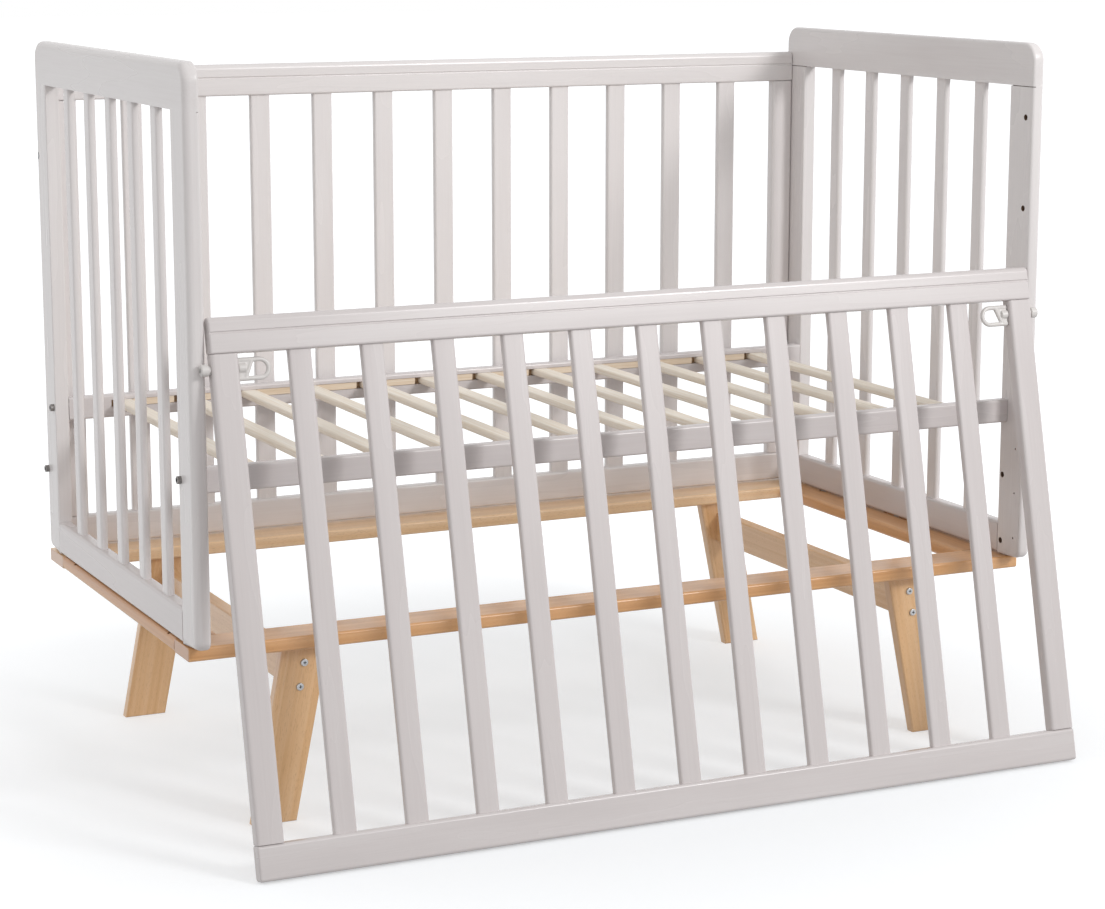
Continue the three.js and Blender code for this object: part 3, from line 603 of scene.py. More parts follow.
def bare_wood(name, along, dark, plain, light, end_grain):
    """Sanded wood without lacquer: pale, dull, with soft growth lines that run lengthwise and stand
    up a little. The sawn ends show darker end grain. The lines are drawn 2.5 mm apart, coarser than
    those of birch, so that they show."""
    finish, tree = new_finish(name)
    place = add(tree, "ShaderNodeTexCoord")
    shape = add(tree, "ShaderNodeNewGeometry")
    own = add(tree, "ShaderNodeObjectInfo")
    apart = add(tree, "ShaderNodeVectorMath", {1: BIRCH_SHIFTS}, {0: own.outputs["Random"]},
                operation="MULTIPLY")
    shifted = add(tree, "ShaderNodeVectorMath", links={0: place.outputs["Object"], 1: apart.outputs[0]})
    fine = add(tree, "ShaderNodeMapping", {"Scale": stretch_scale(along, LINE_WIDE, LINE_LONG)},
               {"Vector": shifted.outputs[0]})
    lines = add(tree, "ShaderNodeTexNoise", {"Scale": 1.0, "Detail": 4.0, "Roughness": 0.65},
                {"Vector": fine.outputs[0]})
    tone = add(tree, "ShaderNodeValToRGB", links={"Fac": lines.outputs[0]})
    stops = tone.color_ramp.elements
    stops.new(LINE_TONES[1])
    for stop, at, colour in zip(stops, LINE_TONES, (dark, plain, light)):
        stop.position = at
        stop.color = srgb(colour)
    split = add(tree, "ShaderNodeSeparateXYZ", links={0: shape.outputs["Normal"]})
    facing = add(tree, "ShaderNodeMath", links={0: split.outputs["XYZ".index(along)]}, operation="ABSOLUTE")
    sawn = add(tree, "ShaderNodeMapRange", {"From Min": BIRCH_SAWN[0], "From Max": BIRCH_SAWN[1]},
               {"Value": facing.outputs[0]})
    ends = add(tree, "ShaderNodeMix", {7: srgb(end_grain)}, {"Factor": sawn.outputs[0], 6: tone.outputs[0]},
               data_type="RGBA")
    ridges = add(tree, "ShaderNodeBump", {"Strength": LINE_BUMP, "Distance": GRAIN_DEEP},
                 {"Height": lines.outputs[0]})
    surface = add(tree, "ShaderNodeBsdfPrincipled", {"Roughness": BIRCH_ROUGH, "IOR": BIRCH_IOR},
                  {"Base Color": ends.outputs[2], "Normal": ridges.outputs[0]})
    add(tree, "ShaderNodeOutputMaterial", links={"Surface": surface.outputs[0]})
    return finish


birch_along_y = bare_wood("bare_sanded_birch", "Y", BIRCH_DARK, BIRCH, BIRCH_LIGHT, BIRCH_END)
spacer_birch = bare_wood("bare_birch_spacers", "X", SPACER_DARK, SPACER_BIRCH, SPACER_LIGHT, BIRCH_END)
# Painted shade: the groove's floor and ends take the dark brown birch
shaded_groove_birch = bare_wood("bare_birch_in_a_routed_groove", "X", GROOVE_SHADE_WOOD_DARK, GROOVE_SHADE_WOOD,
                         GROOVE_SHADE_WOOD_LIGHT, GROOVE_SHADE_WOOD)


def cut_through(piece, place, normal):
    """Scores a line round a piece in one plane."""
    pick_only(piece)
    bpy.ops.object.mode_set(mode="EDIT")
    bpy.ops.mesh.select_all(action="SELECT")
    bpy.ops.mesh.bisect(plane_co=place, plane_no=normal)
    bpy.ops.object.mode_set(mode="OBJECT")


# The base rails take the darker paint, painted shade
shaded_base_paint = painted_wood("satin_paint_on_birch_base_rails", "X", SHADED_BASE_PAINT_DARK, SHADED_BASE_PAINT,
                          SHADED_BASE_PAINT_LIGHT)
slat_boxes = [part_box(f"base_slat_{number:02d}") for number in range(1, BASE_SLATS + 1)]
for face, toward_face in (("front", -1), ("back", 1)):
    low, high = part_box(f"base_{face}_rail")
    inner_y = high.y if toward_face < 0 else low.y
    groove_low, groove_high = low.z + BASE_GROOVE_FROM, low.z + BASE_GROOVE_TO
    groove_start, groove_end = slat_boxes[0][0].x - SPACER_GAP, slat_boxes[-1][1].x + SEAT
    groove_floor = inner_y + toward_face * BASE_GROOVE_DEEP
    rail = blank(f"painted_base_{face}_rail", low, high, shaded_base_paint)
    rail.data.materials.append(shaded_groove_birch)
    for up in (groove_low, groove_high):
        cut_through(rail, (0, 0, up), (0, 0, 1))
    for along in (groove_start, groove_end):
        cut_through(rail, (along, 0, 0), (1, 0, 0))
    round_over(rail, BASE_RAIL_EDGE, EDGE_STEPS, lambda a, b: near(a.y, b.y) and near(a.z, b.z)
               and (near(a.z, low.z) or near(a.z, high.z)) and (near(a.y, low.y) or near(a.y, high.y)))
    pick_only(rail)
    bpy.ops.object.mode_set(mode="EDIT")
    bpy.ops.mesh.select_mode(type="FACE")
    bpy.ops.mesh.select_all(action="DESELECT")
    bpy.ops.object.mode_set(mode="OBJECT")
    for facet in rail.data.polygons:
        spot = facet.center
        facet.select = (near(spot.y, inner_y) and groove_start < spot.x < groove_end
                        and groove_low < spot.z < groove_high)
    bpy.ops.object.mode_set(mode="EDIT")
    rail.active_material_index = 1
    # Extruded as one face of its own, which numbers the new corners alike in each run
    bpy.ops.mesh.extrude_faces_indiv()
    bpy.ops.transform.translate(value=(0, toward_face * BASE_GROOVE_DEEP, 0))
    bpy.ops.object.material_slot_assign()
    bpy.ops.object.mode_set(mode="OBJECT")
    sand(rail)
    fit(rail, "crib", "painted_wood", f"base_{face}_rail")
    spacer_starts = [slat_high.x for slat_low, slat_high in slat_boxes[:-1]]
    spacer_ends = [slat_low.x - SPACER_GAP for slat_low, slat_high in slat_boxes[1:]]
    near_y, far_y = sorted((groove_floor - toward_face * SEAT, inner_y + toward_face * SPACER_BACK))
    spacers = []
    for start, end in zip(spacer_starts, spacer_ends):
        spacer = blank("spacer", (start + SEAT, near_y, groove_low + SEAT),
                       (end - SEAT, far_y, groove_high - SEAT), spacer_birch)
        round_over(spacer, SPACER_EDGE, FINE_STEPS, lambda a, b: near(a.z, b.z) and near(a.y, b.y))
        spacers.append(spacer)
    row = glue(f"birch_base_{face}_spacers", spacers)
    sand(row)
    fit(row, "crib", "birch")

first_low, first_high = slat_boxes[0]
first_slat = blank("birch_base_slat_01", first_low, first_high, birch_along_y)
round_over(first_slat, BASE_SLAT_EDGE, EDGE_STEPS, lambda a, b: not near(a.y, b.y))
sand(first_slat)
base_slats = [first_slat]
for number in range(2, BASE_SLATS + 1):
    shift = slat_boxes[number - 1][0].x - first_low.x
    base_slats.append(another(first_slat, f"birch_base_slat_{number:02d}", (shift, 0, 0)))
for number, slat in enumerate(base_slats, start=1):
    fit(slat, "crib", "birch", f"base_slat_{number:02d}")


# Stand: a flat frame of four lacquered beech boards on four splayed leg plates, which two beams tie
# together from front to back. The long boards run right through, and the side boards butt against them.
BOARD_DARK = "d09862"
BOARD_BEECH = "dda771"
BOARD_LIGHT = "e6b583"
# The left board is the same beech coloured darker and redder: painted shade on the side away from the soft
# box
SHADED_LEFT_BOARD_DARK = "c08a5c"
SHADED_LEFT_BOARD_BEECH = "cd996a"
SHADED_LEFT_BOARD_LIGHT = "d8a87a"
# The back board is the same beech coloured paler: painted light and sheen from behind and above
LIT_BACK_BOARD_DARK = "edc392"
LIT_BACK_BOARD_BEECH = "f6cfa2"
LIT_BACK_BOARD_LIGHT = "fad9b3"
LEG_DARK = "dfb07c"
LEG_BEECH = "e9bd8c"
LEG_LIGHT = "f0c99d"
BEECH_END = "a9744a"
BEECH_FLECK = "b98a60"
BOARD_EDGE = 0.0035
SIDE_BOARD_EDGE = 0.005
BOARD_END_EDGE = 0.0015
BEAM_EDGE = 0.003
LEG_EDGE = 0.003
RING_WIDE = 0.007
RING_LONG = 0.500
FLECK_WIDE = 0.0009
FLECK_LONG = 0.006
BEECH_SHIFTS = (4.7, 2.9, 6.1)
RING_TONES = (0.28, 0.5, 0.74)
FLECK_FROM = 0.58
FLECK_FULL = 0.70
FLECK_SHARE = 0.30
FLECK_BUMP = 0.30
BEECH_SAWN = (0.85, 0.95)
BEECH_END_SHARE = 0.75
LACQUER_ROUGH = (0.28, 0.42)
LACQUER_IOR = 1.5
COAT_ROUGH = 0.22
THICK_COAT = 0.5
THIN_COAT = 0.1


def lacquered_beech(name, along, dark, plain, light, coat=THICK_COAT, lean=0.0):
    """Clear satin lacquer on planed beech: warm tan with soft straight growth lines, fine short ray
    flecks, darker sawn ends, and a thin even gloss over all of it. The flecks are drawn 6 mm long,
    longer than real ones, so that they show."""
    finish, tree = new_finish(name)
    place = add(tree, "ShaderNodeTexCoord")
    shape = add(tree, "ShaderNodeNewGeometry")
    own = add(tree, "ShaderNodeObjectInfo")
    turned = add(tree, "ShaderNodeMapping", {"Rotation": (0, lean, 0)}, {"Vector": place.outputs["Object"]},
                 vector_type="TEXTURE")
    apart = add(tree, "ShaderNodeVectorMath", {1: BEECH_SHIFTS}, {0: own.outputs["Random"]},
                operation="MULTIPLY")
    shifted = add(tree, "ShaderNodeVectorMath", links={0: turned.outputs[0], 1: apart.outputs[0]})
    wide = add(tree, "ShaderNodeMapping", {"Scale": stretch_scale(along, RING_WIDE, RING_LONG)},
               {"Vector": shifted.outputs[0]})
    rings = add(tree, "ShaderNodeTexNoise", links={"Vector": wide.outputs[0]},
                values={"Scale": 1.0, "Detail": 4.0, "Roughness": 0.5, "Distortion": 0.3})
    tone = add(tree, "ShaderNodeValToRGB", links={"Fac": rings.outputs[0]})
    stops = tone.color_ramp.elements
    stops.new(RING_TONES[1])
    for stop, at, colour in zip(stops, RING_TONES, (dark, plain, light)):
        stop.position = at
        stop.color = srgb(colour)
    short = add(tree, "ShaderNodeMapping", {"Scale": stretch_scale(along, FLECK_WIDE, FLECK_LONG)},
                {"Vector": shifted.outputs[0]})
    rays = add(tree, "ShaderNodeTexNoise", {"Scale": 1.0, "Detail": 1.0}, {"Vector": short.outputs[0]})
    ray_mask = add(tree, "ShaderNodeMapRange", links={"Value": rays.outputs[0]},
                   values={"From Min": FLECK_FROM, "From Max": FLECK_FULL, "To Max": FLECK_SHARE})
    flecked = add(tree, "ShaderNodeMix", {7: srgb(BEECH_FLECK)},
                  {"Factor": ray_mask.outputs[0], 6: tone.outputs[0]}, data_type="RGBA")
    local = add(tree, "ShaderNodeSeparateXYZ", links={0: shape.outputs["Normal"]})
    facing = add(tree, "ShaderNodeMath", links={0: local.outputs["XYZ".index(along)]}, operation="ABSOLUTE")
    sawn = add(tree, "ShaderNodeMapRange", links={"Value": facing.outputs[0]},
               values={"From Min": BEECH_SAWN[0], "From Max": BEECH_SAWN[1], "To Max": BEECH_END_SHARE})
    ends = add(tree, "ShaderNodeMix", {7: srgb(BEECH_END)},
               {"Factor": sawn.outputs[0], 6: flecked.outputs[2]}, data_type="RGBA")
    gloss = add(tree, "ShaderNodeMapRange", {"To Min": LACQUER_ROUGH[0], "To Max": LACQUER_ROUGH[1]},
                {"Value": rings.outputs[0]})
    ridges = add(tree, "ShaderNodeBump", {"Strength": FLECK_BUMP, "Distance": GRAIN_DEEP},
                 {"Height": rays.outputs[0]})
    surface = add(tree, "ShaderNodeBsdfPrincipled",
                  {"IOR": LACQUER_IOR, "Coat Weight": coat, "Coat Roughness": COAT_ROUGH,
                   "Coat IOR": LACQUER_IOR},
                  {"Base Color": ends.outputs[2], "Roughness": gloss.outputs[0],
                   "Normal": ridges.outputs[0]})
    add(tree, "ShaderNodeOutputMaterial", links={"Surface": surface.outputs[0]})
    return finish


beech_along_x = lacquered_beech("lacquered_beech_along_x", "X", BOARD_DARK, BOARD_BEECH, BOARD_LIGHT)
# Painted light: the back board takes the paler beech colours
lit_beech_back_board = lacquered_beech("lacquered_pale_beech_along_x", "X", LIT_BACK_BOARD_DARK, LIT_BACK_BOARD_BEECH,
                                   LIT_BACK_BOARD_LIGHT)
# Painted shade: the left board takes the darker beech colours
shaded_beech_left_board = lacquered_beech("lacquered_red_beech_along_y", "Y", SHADED_LEFT_BOARD_DARK, SHADED_LEFT_BOARD_BEECH,
                                   SHADED_LEFT_BOARD_LIGHT, THIN_COAT)
beech_along_y = lacquered_beech("lacquered_beech_along_y", "Y", BOARD_DARK, BOARD_BEECH, BOARD_LIGHT,
                                THIN_COAT)
beech_beam = lacquered_beech("lacquered_pale_beech_along_y", "Y", LEG_DARK, LEG_BEECH, LEG_LIGHT)

for face, wood in (("front", beech_along_x), ("back", lit_beech_back_board)):
    low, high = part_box(f"stand_{face}_board")
    board = blank(f"beech_stand_{face}_board", low, high, wood)
    round_over(board, BOARD_EDGE, EDGE_STEPS,
               lambda a, b: near(a.y, b.y) and near(a.z, b.z) and not near(a.y, high.y))
    round_over(board, BOARD_END_EDGE, FINE_STEPS,
               lambda a, b: near(a.z, b.z) and near(a.y, high.y) and near(b.y, high.y))
    round_over(board, BOARD_END_EDGE, FINE_STEPS,
               lambda a, b: near(a.x, b.x) and (near(a.x, low.x) or near(a.x, high.x)))
    sand(board)
    fit(board, "stand", "beech", f"stand_{face}_board")

ROLLER_X = 0.609
ROLLER_UP = 0.2457
ROLLERS_Y = (-0.135766, 0.294234)
ROLLER_SLOT_HALF = 0.0043
ROLLER_ROOM = 0.0096
AXLE_REST_HALF = 0.0093
AXLE_REST = 0.0028
PEG_Y = 0.079234
PEG_ROOM = 0.0043
PEG_TRAVEL = 0.030

for side, sign, wood in (("left", -1, shaded_beech_left_board), ("right", 1, beech_along_y)):
    low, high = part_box(f"stand_{side}_board")
    board = blank(f"beech_stand_{side}_board", low, high, wood)
    round_over(board, SIDE_BOARD_EDGE, EDGE_STEPS, lambda a, b: near(a.x, b.x) and near(a.z, b.z))
    slot_x = sign * ROLLER_X
    cutters = [blank("slot", (slot_x - PEG_ROOM, PEG_Y - PEG_TRAVEL - PEG_ROOM, low.z - OVERRUN),
                     (slot_x + PEG_ROOM, PEG_Y + PEG_TRAVEL + PEG_ROOM, high.z + OVERRUN), wood)]
    for y in ROLLERS_Y:
        cutters.append(blank("slot", (slot_x - ROLLER_SLOT_HALF, y - ROLLER_ROOM, low.z - OVERRUN),
                             (slot_x + ROLLER_SLOT_HALF, y + ROLLER_ROOM, high.z + OVERRUN), wood))
        cutters.append(blank("slot", (slot_x - AXLE_REST_HALF, y - AXLE_REST, ROLLER_UP - AXLE_REST),
                             (slot_x + AXLE_REST_HALF, y + AXLE_REST, high.z + OVERRUN), wood))
    bore(board, *cutters)
    sand(board)
    fit(board, "stand", "beech", f"stand_{side}_board")

    low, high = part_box(f"{side}_cross_beam")
    beam = blank(f"beech_{side}_cross_beam", low, high, beech_beam)
    round_over(beam, BEAM_EDGE, EDGE_STEPS, lambda a, b: near(a.x, b.x) and near(a.z, b.z))
    sand(beam)
    fit(beam, "stand", "beech", f"{side}_cross_beam")

LEG_TOP_UP = 0.2347
LEG_TOP_INNER = 0.422
LEG_TOP_OUTER = 0.485
LEG_FOOT_INNER = 0.470
LEG_FOOT_OUTER = 0.530
LEG_ROUGH_HALF = 1.0
LEG_ENDS = ((0, LEG_FOOT_INNER, LEG_FOOT_OUTER), (LEG_TOP_UP, LEG_TOP_INNER, LEG_TOP_OUTER))

for side, sign in (("left", -1), ("right", 1)):
    splay = math.atan2(sign * (LEG_FOOT_OUTER - LEG_TOP_OUTER), LEG_TOP_UP)
    beech_leg = lacquered_beech(f"lacquered_pale_beech_{side}_legs", "Z", LEG_DARK, LEG_BEECH, LEG_LIGHT,
                                lean=-splay)
    for face in ("front", "back"):
        low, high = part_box(f"{face}_{side}_leg")
        leg = blank(f"beech_{face}_{side}_leg", (-LEG_ROUGH_HALF, low.y, 0),
                    (LEG_ROUGH_HALF, high.y, LEG_TOP_UP), beech_leg)
        for up, inner, outer in LEG_ENDS:
            for end, place_x in ((-sign * LEG_ROUGH_HALF, inner), (sign * LEG_ROUGH_HALF, outer)):
                pick_edges(leg, lambda a, b: near(a.z, up) and near(b.z, up)
                           and near(a.x, end) and near(b.x, end))
                bpy.ops.transform.translate(value=(sign * place_x - end, 0, 0))
                bpy.ops.object.mode_set(mode="OBJECT")
        round_over(leg, LEG_EDGE, EDGE_STEPS, lambda a, b: near(a.y, b.y)
                   and not (near(a.z, LEG_TOP_UP) and near(b.z, LEG_TOP_UP)))
        sand(leg)
        fit(leg, "stand", "beech", f"{face}_{side}_leg")


# Leg screws: zinc-plated pan-head screws with a cross recess, two through each leg plate into the
# end of its beam.
RECESS_LONG = 0.0044
RECESS_WIDE = 0.0010
RECESS_DEEP = 0.0014
HEAD_RADIUS = 0.005
HEAD_EDGE = 0.0012
HEAD_STEPS = 3
HEAD_TALL = 0.0025
SHANK_RADIUS = 0.0025
ZINC = "d2d4d6"
ZINC_CLOUD = "bcc0c4"
# Bolt heads: dull zinc plate, coloured darker than plate, which also paints shade on them
SHADED_DULL_ZINC = "a09c9a"
SHADED_DULL_CLOUD = "6c6866"
# Near-black metal for the screw recesses, bolt sockets and sunk bolts: painted shade
RECESS_SHADE = "33363a"
RECESS_SHADE_CLOUD = "4a4d52"
PLATE_CLOUD = 0.0025
ZINC_ROUGH = (0.28, 0.45)
DULL_ROUGH = (0.35, 0.55)
RECESS_ROUGH = (0.5, 0.7)


def plated_steel(name, colour, cloud, rough):
    """Bright zinc plate on turned steel: a cool grey metal, slightly cloudy, with soft highlights."""
    finish, tree = new_finish(name)
    place = add(tree, "ShaderNodeTexCoord")
    clouds = add(tree, "ShaderNodeTexNoise", {"Scale": 1 / PLATE_CLOUD, "Detail": 3.0},
                 {"Vector": place.outputs["Object"]})
    tone = add(tree, "ShaderNodeMix", {6: srgb(colour), 7: srgb(cloud)}, {"Factor": clouds.outputs[0]},
               data_type="RGBA")
    gloss = add(tree, "ShaderNodeMapRange", {"To Min": rough[0], "To Max": rough[1]},
                {"Value": clouds.outputs[0]})
    surface = add(tree, "ShaderNodeBsdfPrincipled", {"Metallic": 1.0},
                  {"Base Color": tone.outputs[2], "Roughness": gloss.outputs[0]})
    add(tree, "ShaderNodeOutputMaterial", links={"Surface": surface.outputs[0]})
    return finish


zinc = plated_steel("bright_zinc_plate", ZINC, ZINC_CLOUD, ZINC_ROUGH)
shaded_dull_zinc = plated_steel("dull_zinc_plate_on_bolts", SHADED_DULL_ZINC, SHADED_DULL_CLOUD, DULL_ROUGH)
# Painted shade: a near-black finish for recesses and sunk bolts
recess = plated_steel("zinc_plate_deep_in_a_recess", RECESS_SHADE, RECESS_SHADE_CLOUD, RECESS_ROUGH)

for face, toward_face in (("front", -1), ("back", 1)):
    for side in ("left", "right"):
        for level in ("upper", "lower"):
            low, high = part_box(f"{face}_{side}_leg_screw_{level}")
            x, z = (low.x + high.x) / 2, (low.z + high.z) / 2
            tip, crown = (high.y, low.y) if toward_face < 0 else (low.y, high.y)
            under_head = crown - toward_face * HEAD_TALL
            head = bar("head", HEAD_RADIUS, (x, under_head, z), (x, crown, z), zinc)
            round_over(head, HEAD_EDGE, HEAD_STEPS, lambda a, b: near(a.y, crown) and near(b.y, crown))
            near_y, far_y = sorted((crown - toward_face * RECESS_DEEP, crown + toward_face * OVERRUN))
            bore(head, blank("slot", (x - RECESS_LONG / 2, near_y, z - RECESS_WIDE / 2),
                             (x + RECESS_LONG / 2, far_y, z + RECESS_WIDE / 2), recess),
                 blank("slot", (x - RECESS_WIDE / 2, near_y, z - RECESS_LONG / 2),
                       (x + RECESS_WIDE / 2, far_y, z + RECESS_LONG / 2), recess))
            shank_start = under_head + toward_face * SEAT
            shank = bar("shank", SHANK_RADIUS, (x, shank_start, z), (x, tip, z), zinc)
            screw = glue(f"zinc_{face}_{side}_leg_screw_{level}", [head, shank])
            sand(screw)
            fit(screw, "stand", "zinc_steel", f"{face}_{side}_leg_screw_{level}")


# Panel bolts: zinc-plated socket-head bolts through the posts into the ends of the base rails and of
# the back panel. Most heads stand proud of the posts, and the upper one of each back post is sunk.
BOLT_RADIUS = 0.005
BOLT_TALL = 0.0055
BOLT_FLUSH = 0.0008
BOLT_SEAT = 0.006
BOLT_EDGE = 0.0006
SOCKET_RADIUS = 0.0029
SOCKET_DEEP = 0.003
SOCKET_SIDES = 6
BASE_BOLT_UP = 0.466
BACK_BOLT_UP = 0.3715
SUNK_BOLT_UP = 0.821
SUNK_BOLT_RADIUS = 0.0048
SUNK_DOWN = 0.002
BACK_BOLT_Y = 0.407734
POST_FRONT_Y = -0.258266
POST_BACK_Y = 0.416734


def panel_bolt(name, sign, radius, outer, y, z, finish):
    """Turns a socket-head bolt whose crown is this far out along X."""
    crown = sign * outer
    bolt = bar(name, radius, (sign * (PANEL_OUTSIDE - BOLT_SEAT), y, z), (crown, y, z), finish)
    round_over(bolt, BOLT_EDGE, FINE_STEPS, lambda a, b: near(a.x, crown) and near(b.x, crown))
    bore(bolt, bar("socket", SOCKET_RADIUS, (crown - sign * SOCKET_DEEP, y, z),
                   (crown + sign * OVERRUN, y, z), recess, SOCKET_SIDES))
    sand(bolt)
    fit(bolt, "crib", "zinc_steel")


for side, sign in (("left", -1), ("right", 1)):
    for name, y, z in (("front_base_bolt", POST_FRONT_Y + BASE_RAIL_FROM_EDGE, BASE_BOLT_UP),
                       ("back_base_bolt", POST_BACK_Y - BASE_RAIL_FROM_EDGE, BASE_BOLT_UP),
                       ("back_panel_bolt", BACK_BOLT_Y, BACK_BOLT_UP)):
        proud = BOLT_FLUSH if (side, name) == ("right", "back_base_bolt") else BOLT_TALL
        # The proud bolts take the darker zinc, partly painted shade
        panel_bolt(f"zinc_{side}_{name}", sign, BOLT_RADIUS, PANEL_OUTSIDE + proud, y, z, shaded_dull_zinc)
    # The sunk bolts and their holes take the near-black finish, painted shade
    panel_bolt(f"zinc_{side}_sunk_bolt", sign, SUNK_BOLT_RADIUS, PANEL_OUTSIDE - SUNK_DOWN, BACK_BOLT_Y,
               SUNK_BOLT_UP, recess)
    post = bpy.data.objects[f"painted_{side}_back_post"]
    bore(post, bar("drill", SUNK_BOLT_RADIUS,
                   (sign * (PANEL_OUTSIDE - BOLT_SEAT), BACK_BOLT_Y, SUNK_BOLT_UP),
                   (sign * (PANEL_OUTSIDE + OVERRUN), BACK_BOLT_Y, SUNK_BOLT_UP), recess))
    sand(post)


# Rollers and stop pegs: turned steel, hidden between the end panels and the side boards, where they
# carry the crib as it rolls.
for name in ("front_left_roller", "front_right_roller", "back_left_roller", "back_right_roller",
             "left_stop_peg", "right_stop_peg"):
    nodes[name].data.materials.clear()
    nodes[name].data.materials.append(zinc)


# Front side, unhooked and leaning: made like the back panel but thicker, with a stile at each end
# bored for a latch pin. It is made upright about the pin's line and then leant back.
PIN = (0, -0.266066, 0.609526)
LEAN = math.radians(13.1)
FRONT_HALF = 0.597
FRONT_HALF_THICK = 0.010
FRONT_TOP = 0.064
FRONT_RAIL_FOOT = 0.0185
FRONT_FOOT = -0.624
PIN_ROOM = 0.0038

# Darker paints for the leaning side, and darker still for its slats and stiles: painted shade, as it stands
# low and in front
SHADED_FRONT_PAINT = "d1cac9"
SHADED_FRONT_PAINT_DARK = "ccc5c4"
SHADED_FRONT_PAINT_LIGHT = "d5cfce"
SHADED_FRONT_SLAT_PAINT = "cac2c1"
SHADED_FRONT_SLAT_PAINT_DARK = "c5bdbc"
SHADED_FRONT_SLAT_PAINT_LIGHT = "cec7c6"
shaded_paint_leaning_x = painted_wood("satin_paint_on_birch_leaning_along_x", "X", SHADED_FRONT_PAINT_DARK, SHADED_FRONT_PAINT,
                               SHADED_FRONT_PAINT_LIGHT, LEAN, PIN)
shaded_paint_leaning_z = painted_wood("satin_paint_on_birch_leaning_upright", "Z", SHADED_FRONT_SLAT_PAINT_DARK,
                               SHADED_FRONT_SLAT_PAINT, SHADED_FRONT_SLAT_PAINT_LIGHT, LEAN, PIN)


def lean_back(piece):
    """Leans a piece made upright about the pin's line to its place against the posts."""
    pick_only(piece)
    piece.rotation_euler = (-LEAN, 0, 0)
    piece.location = PIN
    bpy.ops.object.transform_apply(location=True, rotation=True, scale=True)


rail = handrail("painted_front_handrail", (-FRONT_HALF, -FRONT_HALF_THICK, FRONT_RAIL_FOOT),
                (FRONT_HALF, FRONT_HALF_THICK, FRONT_TOP), shaded_paint_leaning_x)
lean_back(rail)
sand(rail)
fit(rail, "front_side", "painted_wood", "front_top_rail")

for side, sign in (("left", -1), ("right", 1)):
    near_x, far_x = sorted((sign * (FRONT_HALF - STILE_WIDE), sign * FRONT_HALF))
    piece = stile(f"painted_front_{side}_stile",
                  (near_x, -FRONT_HALF_THICK, FRONT_FOOT + SIDE_FOOT_RAIL_TALL + SEAT),
                  (far_x, FRONT_HALF_THICK, FRONT_RAIL_FOOT - SEAT), shaded_paint_leaning_z)
    bore(piece, bar("drill", PIN_ROOM, (near_x - OVERRUN, 0, 0), (far_x + OVERRUN, 0, 0), hole_shade_wood))
    lean_back(piece)
    sand(piece)
    fit(piece, "front_side", "painted_wood", f"front_{side}_stile")

comb = side_comb("painted_front_grille", (-FRONT_HALF, -FRONT_HALF_THICK, FRONT_FOOT),
                 (FRONT_HALF, FRONT_HALF_THICK, FRONT_RAIL_FOOT - SEAT), shaded_paint_leaning_z, shaded_paint_leaning_x)
lean_back(comb)
sand(comb)
fit(comb, "front_side", "painted_wood", "front_grille")


# Latches: a moulded nylon finger ring inside each stile pulls a steel pin, and a nylon sleeve round
# the pin's end stands between the stile and the post. Ring and web are cast as one rounded piece.
NYLON = "dcd8d5"
NYLON_CLOUD = "d3cfcc"
FLOW_SIZE = 0.004
FLOW_BUMP = 0.1
NYLON_ROUGH = (0.28, 0.40)
NYLON_IOR = 1.53
RING_MIDDLE_X = 0.5332
RING_MIDDLE_UP = -0.0015
RING_LOOP = 0.0115
RING_ROD = 0.003
LOOP_SIDES = 48
ROD_SIDES = 16
RING_TOP_END = 0.543
RING_SLANT_FOOT = 0.553
WEB_HALF_THICK = 0.002
WEB_OUTER = 0.5614
BOSS_RADIUS = 0.006
BOSS_START = 0.5515
CAST_GRAIN = 0.0005
SOFTEN_TIMES = 6
SLEEVE_EDGE = 0.0015
SLEEVE_NECK = 0.002
SLEEVE_NECK_SHARE = 0.75


def moulded_nylon(name):
    """Injection-moulded nylon: smooth, slightly cloudy off-white with a soft gloss."""
    finish, tree = new_finish(name)
    place = add(tree, "ShaderNodeTexCoord")
    flow = add(tree, "ShaderNodeTexNoise", {"Scale": 1 / FLOW_SIZE, "Detail": 2.0},
               {"Vector": place.outputs["Object"]})
    tone = add(tree, "ShaderNodeMix", {6: srgb(NYLON), 7: srgb(NYLON_CLOUD)}, {"Factor": flow.outputs[0]},
               data_type="RGBA")
    gloss = add(tree, "ShaderNodeMapRange", {"To Min": NYLON_ROUGH[0], "To Max": NYLON_ROUGH[1]},
                {"Value": flow.outputs[0]})
    skin = add(tree, "ShaderNodeBump", {"Strength": FLOW_BUMP, "Distance": GRAIN_DEEP},
               {"Height": flow.outputs[0]})
    surface = add(tree, "ShaderNodeBsdfPrincipled", {"IOR": NYLON_IOR},
                  {"Base Color": tone.outputs[2], "Roughness": gloss.outputs[0],
                   "Normal": skin.outputs[0]})
    add(tree, "ShaderNodeOutputMaterial", links={"Surface": surface.outputs[0]})
    return finish


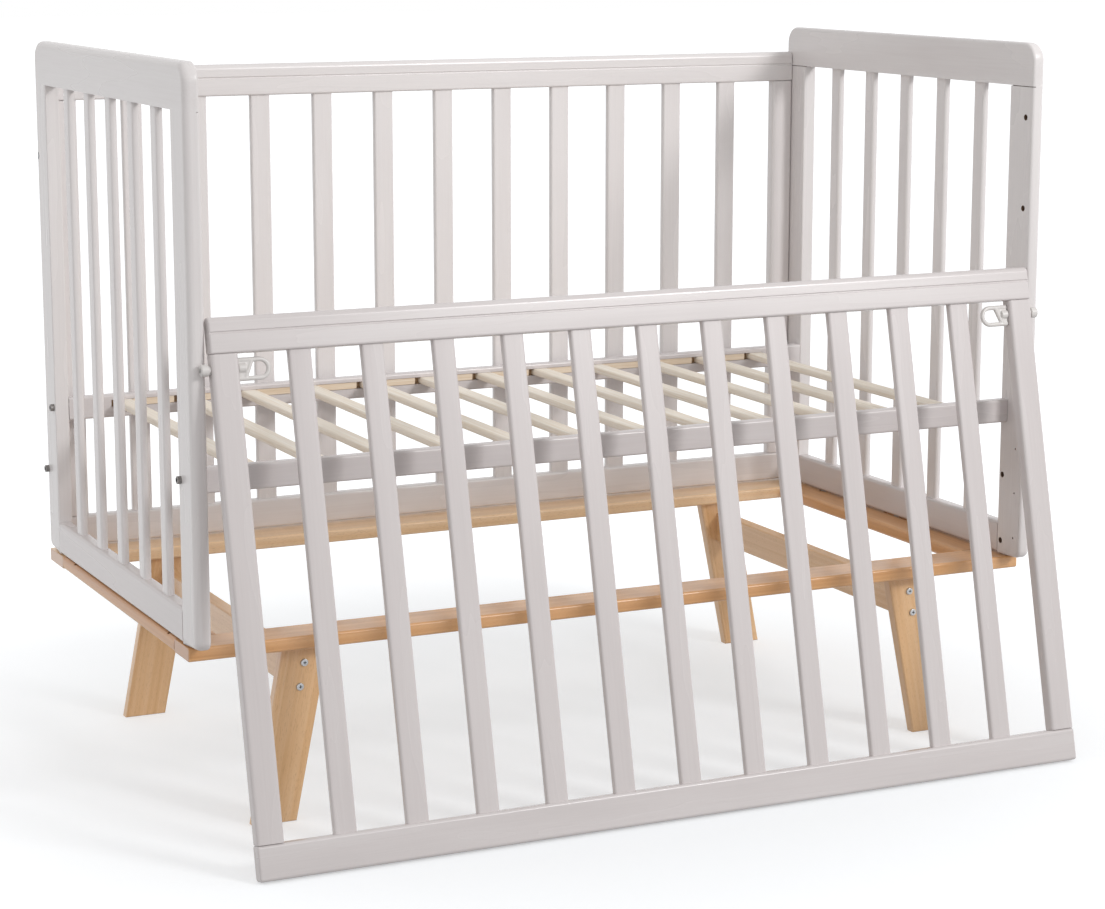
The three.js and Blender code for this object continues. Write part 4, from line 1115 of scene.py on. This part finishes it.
nylon = moulded_nylon("injection_moulded_nylon")
for side, sign in (("left", -1), ("right", 1)):
    loop_x = sign * RING_MIDDLE_X
    loop_top, loop_foot = RING_MIDDLE_UP + RING_LOOP, RING_MIDDLE_UP - RING_LOOP
    bpy.ops.object.select_all(action="DESELECT")
    bpy.ops.mesh.primitive_torus_add(major_radius=RING_LOOP, minor_radius=RING_ROD,
                                     major_segments=LOOP_SIDES, minor_segments=ROD_SIDES,
                                     location=(loop_x, 0, RING_MIDDLE_UP),
                                     rotation=(math.radians(LEVEL), 0, 0))
    loop = bpy.context.active_object
    bpy.ops.object.transform_apply(location=True, rotation=True, scale=True)
    loop.data.materials.append(nylon)
    bpy.ops.object.mode_set(mode="EDIT")
    bpy.ops.mesh.select_all(action="SELECT")
    bpy.ops.mesh.bisect(plane_co=(loop_x, 0, 0), plane_no=(sign, 0, 0), clear_outer=True, use_fill=True)
    bpy.ops.object.mode_set(mode="OBJECT")
    top_rod = bar("top", RING_ROD, (loop_x, 0, loop_top), (sign * WEB_OUTER, 0, loop_top), nylon)
    foot_rod = bar("foot", RING_ROD, (loop_x, 0, loop_foot), (sign * WEB_OUTER, 0, loop_foot), nylon)
    slant_rod = bar("slant", RING_ROD, (sign * RING_TOP_END, 0, loop_top),
                    (sign * RING_SLANT_FOOT, 0, loop_foot), nylon)
    near_x, far_x = sorted((sign * RING_SLANT_FOOT, sign * WEB_OUTER))
    web = blank("web", (near_x, -WEB_HALF_THICK, loop_foot), (far_x, WEB_HALF_THICK, loop_top), nylon)
    pick_edges(web, lambda a, b: near(a.z, loop_top) and near(b.z, loop_top)
               and near(a.x, sign * RING_SLANT_FOOT) and near(b.x, sign * RING_SLANT_FOOT))
    bpy.ops.transform.translate(value=(sign * (RING_TOP_END - RING_SLANT_FOOT), 0, 0))
    bpy.ops.object.mode_set(mode="OBJECT")
    boss = bar("boss", BOSS_RADIUS, (sign * BOSS_START, 0, 0), (sign * WEB_OUTER, 0, 0), nylon)
    ring = glue(f"nylon_{side}_pull_ring", [loop, top_rod, foot_rod, slant_rod, web, boss])
    pick_only(ring)
    cast = ring.modifiers.new("cast", "REMESH")
    cast.mode = "VOXEL"
    cast.voxel_size = CAST_GRAIN
    bpy.ops.object.modifier_apply(modifier=cast.name)
    soften = ring.modifiers.new("soften", "SMOOTH")
    soften.iterations = SOFTEN_TIMES
    bpy.ops.object.modifier_apply(modifier=soften.name)
    bpy.ops.object.shade_smooth()
    lean_back(ring)
    fit(ring, f"{side}_latch", "white_plastic", f"{side}_pull_ring")

    low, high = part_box(f"{side}_catch_sleeve")
    start, end = (low.x, high.x) if sign > 0 else (high.x, low.x)
    y, z = (low.y + high.y) / 2, (low.z + high.z) / 2
    shoulder = start + sign * SLEEVE_NECK
    radius = (high.y - low.y) / 2
    sleeve = bar(f"nylon_{side}_catch_sleeve", radius, (shoulder, y, z), (end, y, z), nylon)
    round_over(sleeve, SLEEVE_EDGE, EDGE_STEPS, lambda a, b: near(a.x, b.x))
    neck = bar("neck", SLEEVE_NECK_SHARE * radius, (start, y, z), (shoulder + sign * SEAT, y, z), nylon)
    sleeve = glue(sleeve.name, [sleeve, neck])
    sand(sleeve)
    fit(sleeve, "front_bearers", "white_plastic", f"{side}_catch_sleeve")

    nodes[f"{side}_latch_pin"].data.materials.clear()
    nodes[f"{side}_latch_pin"].data.materials.append(zinc)
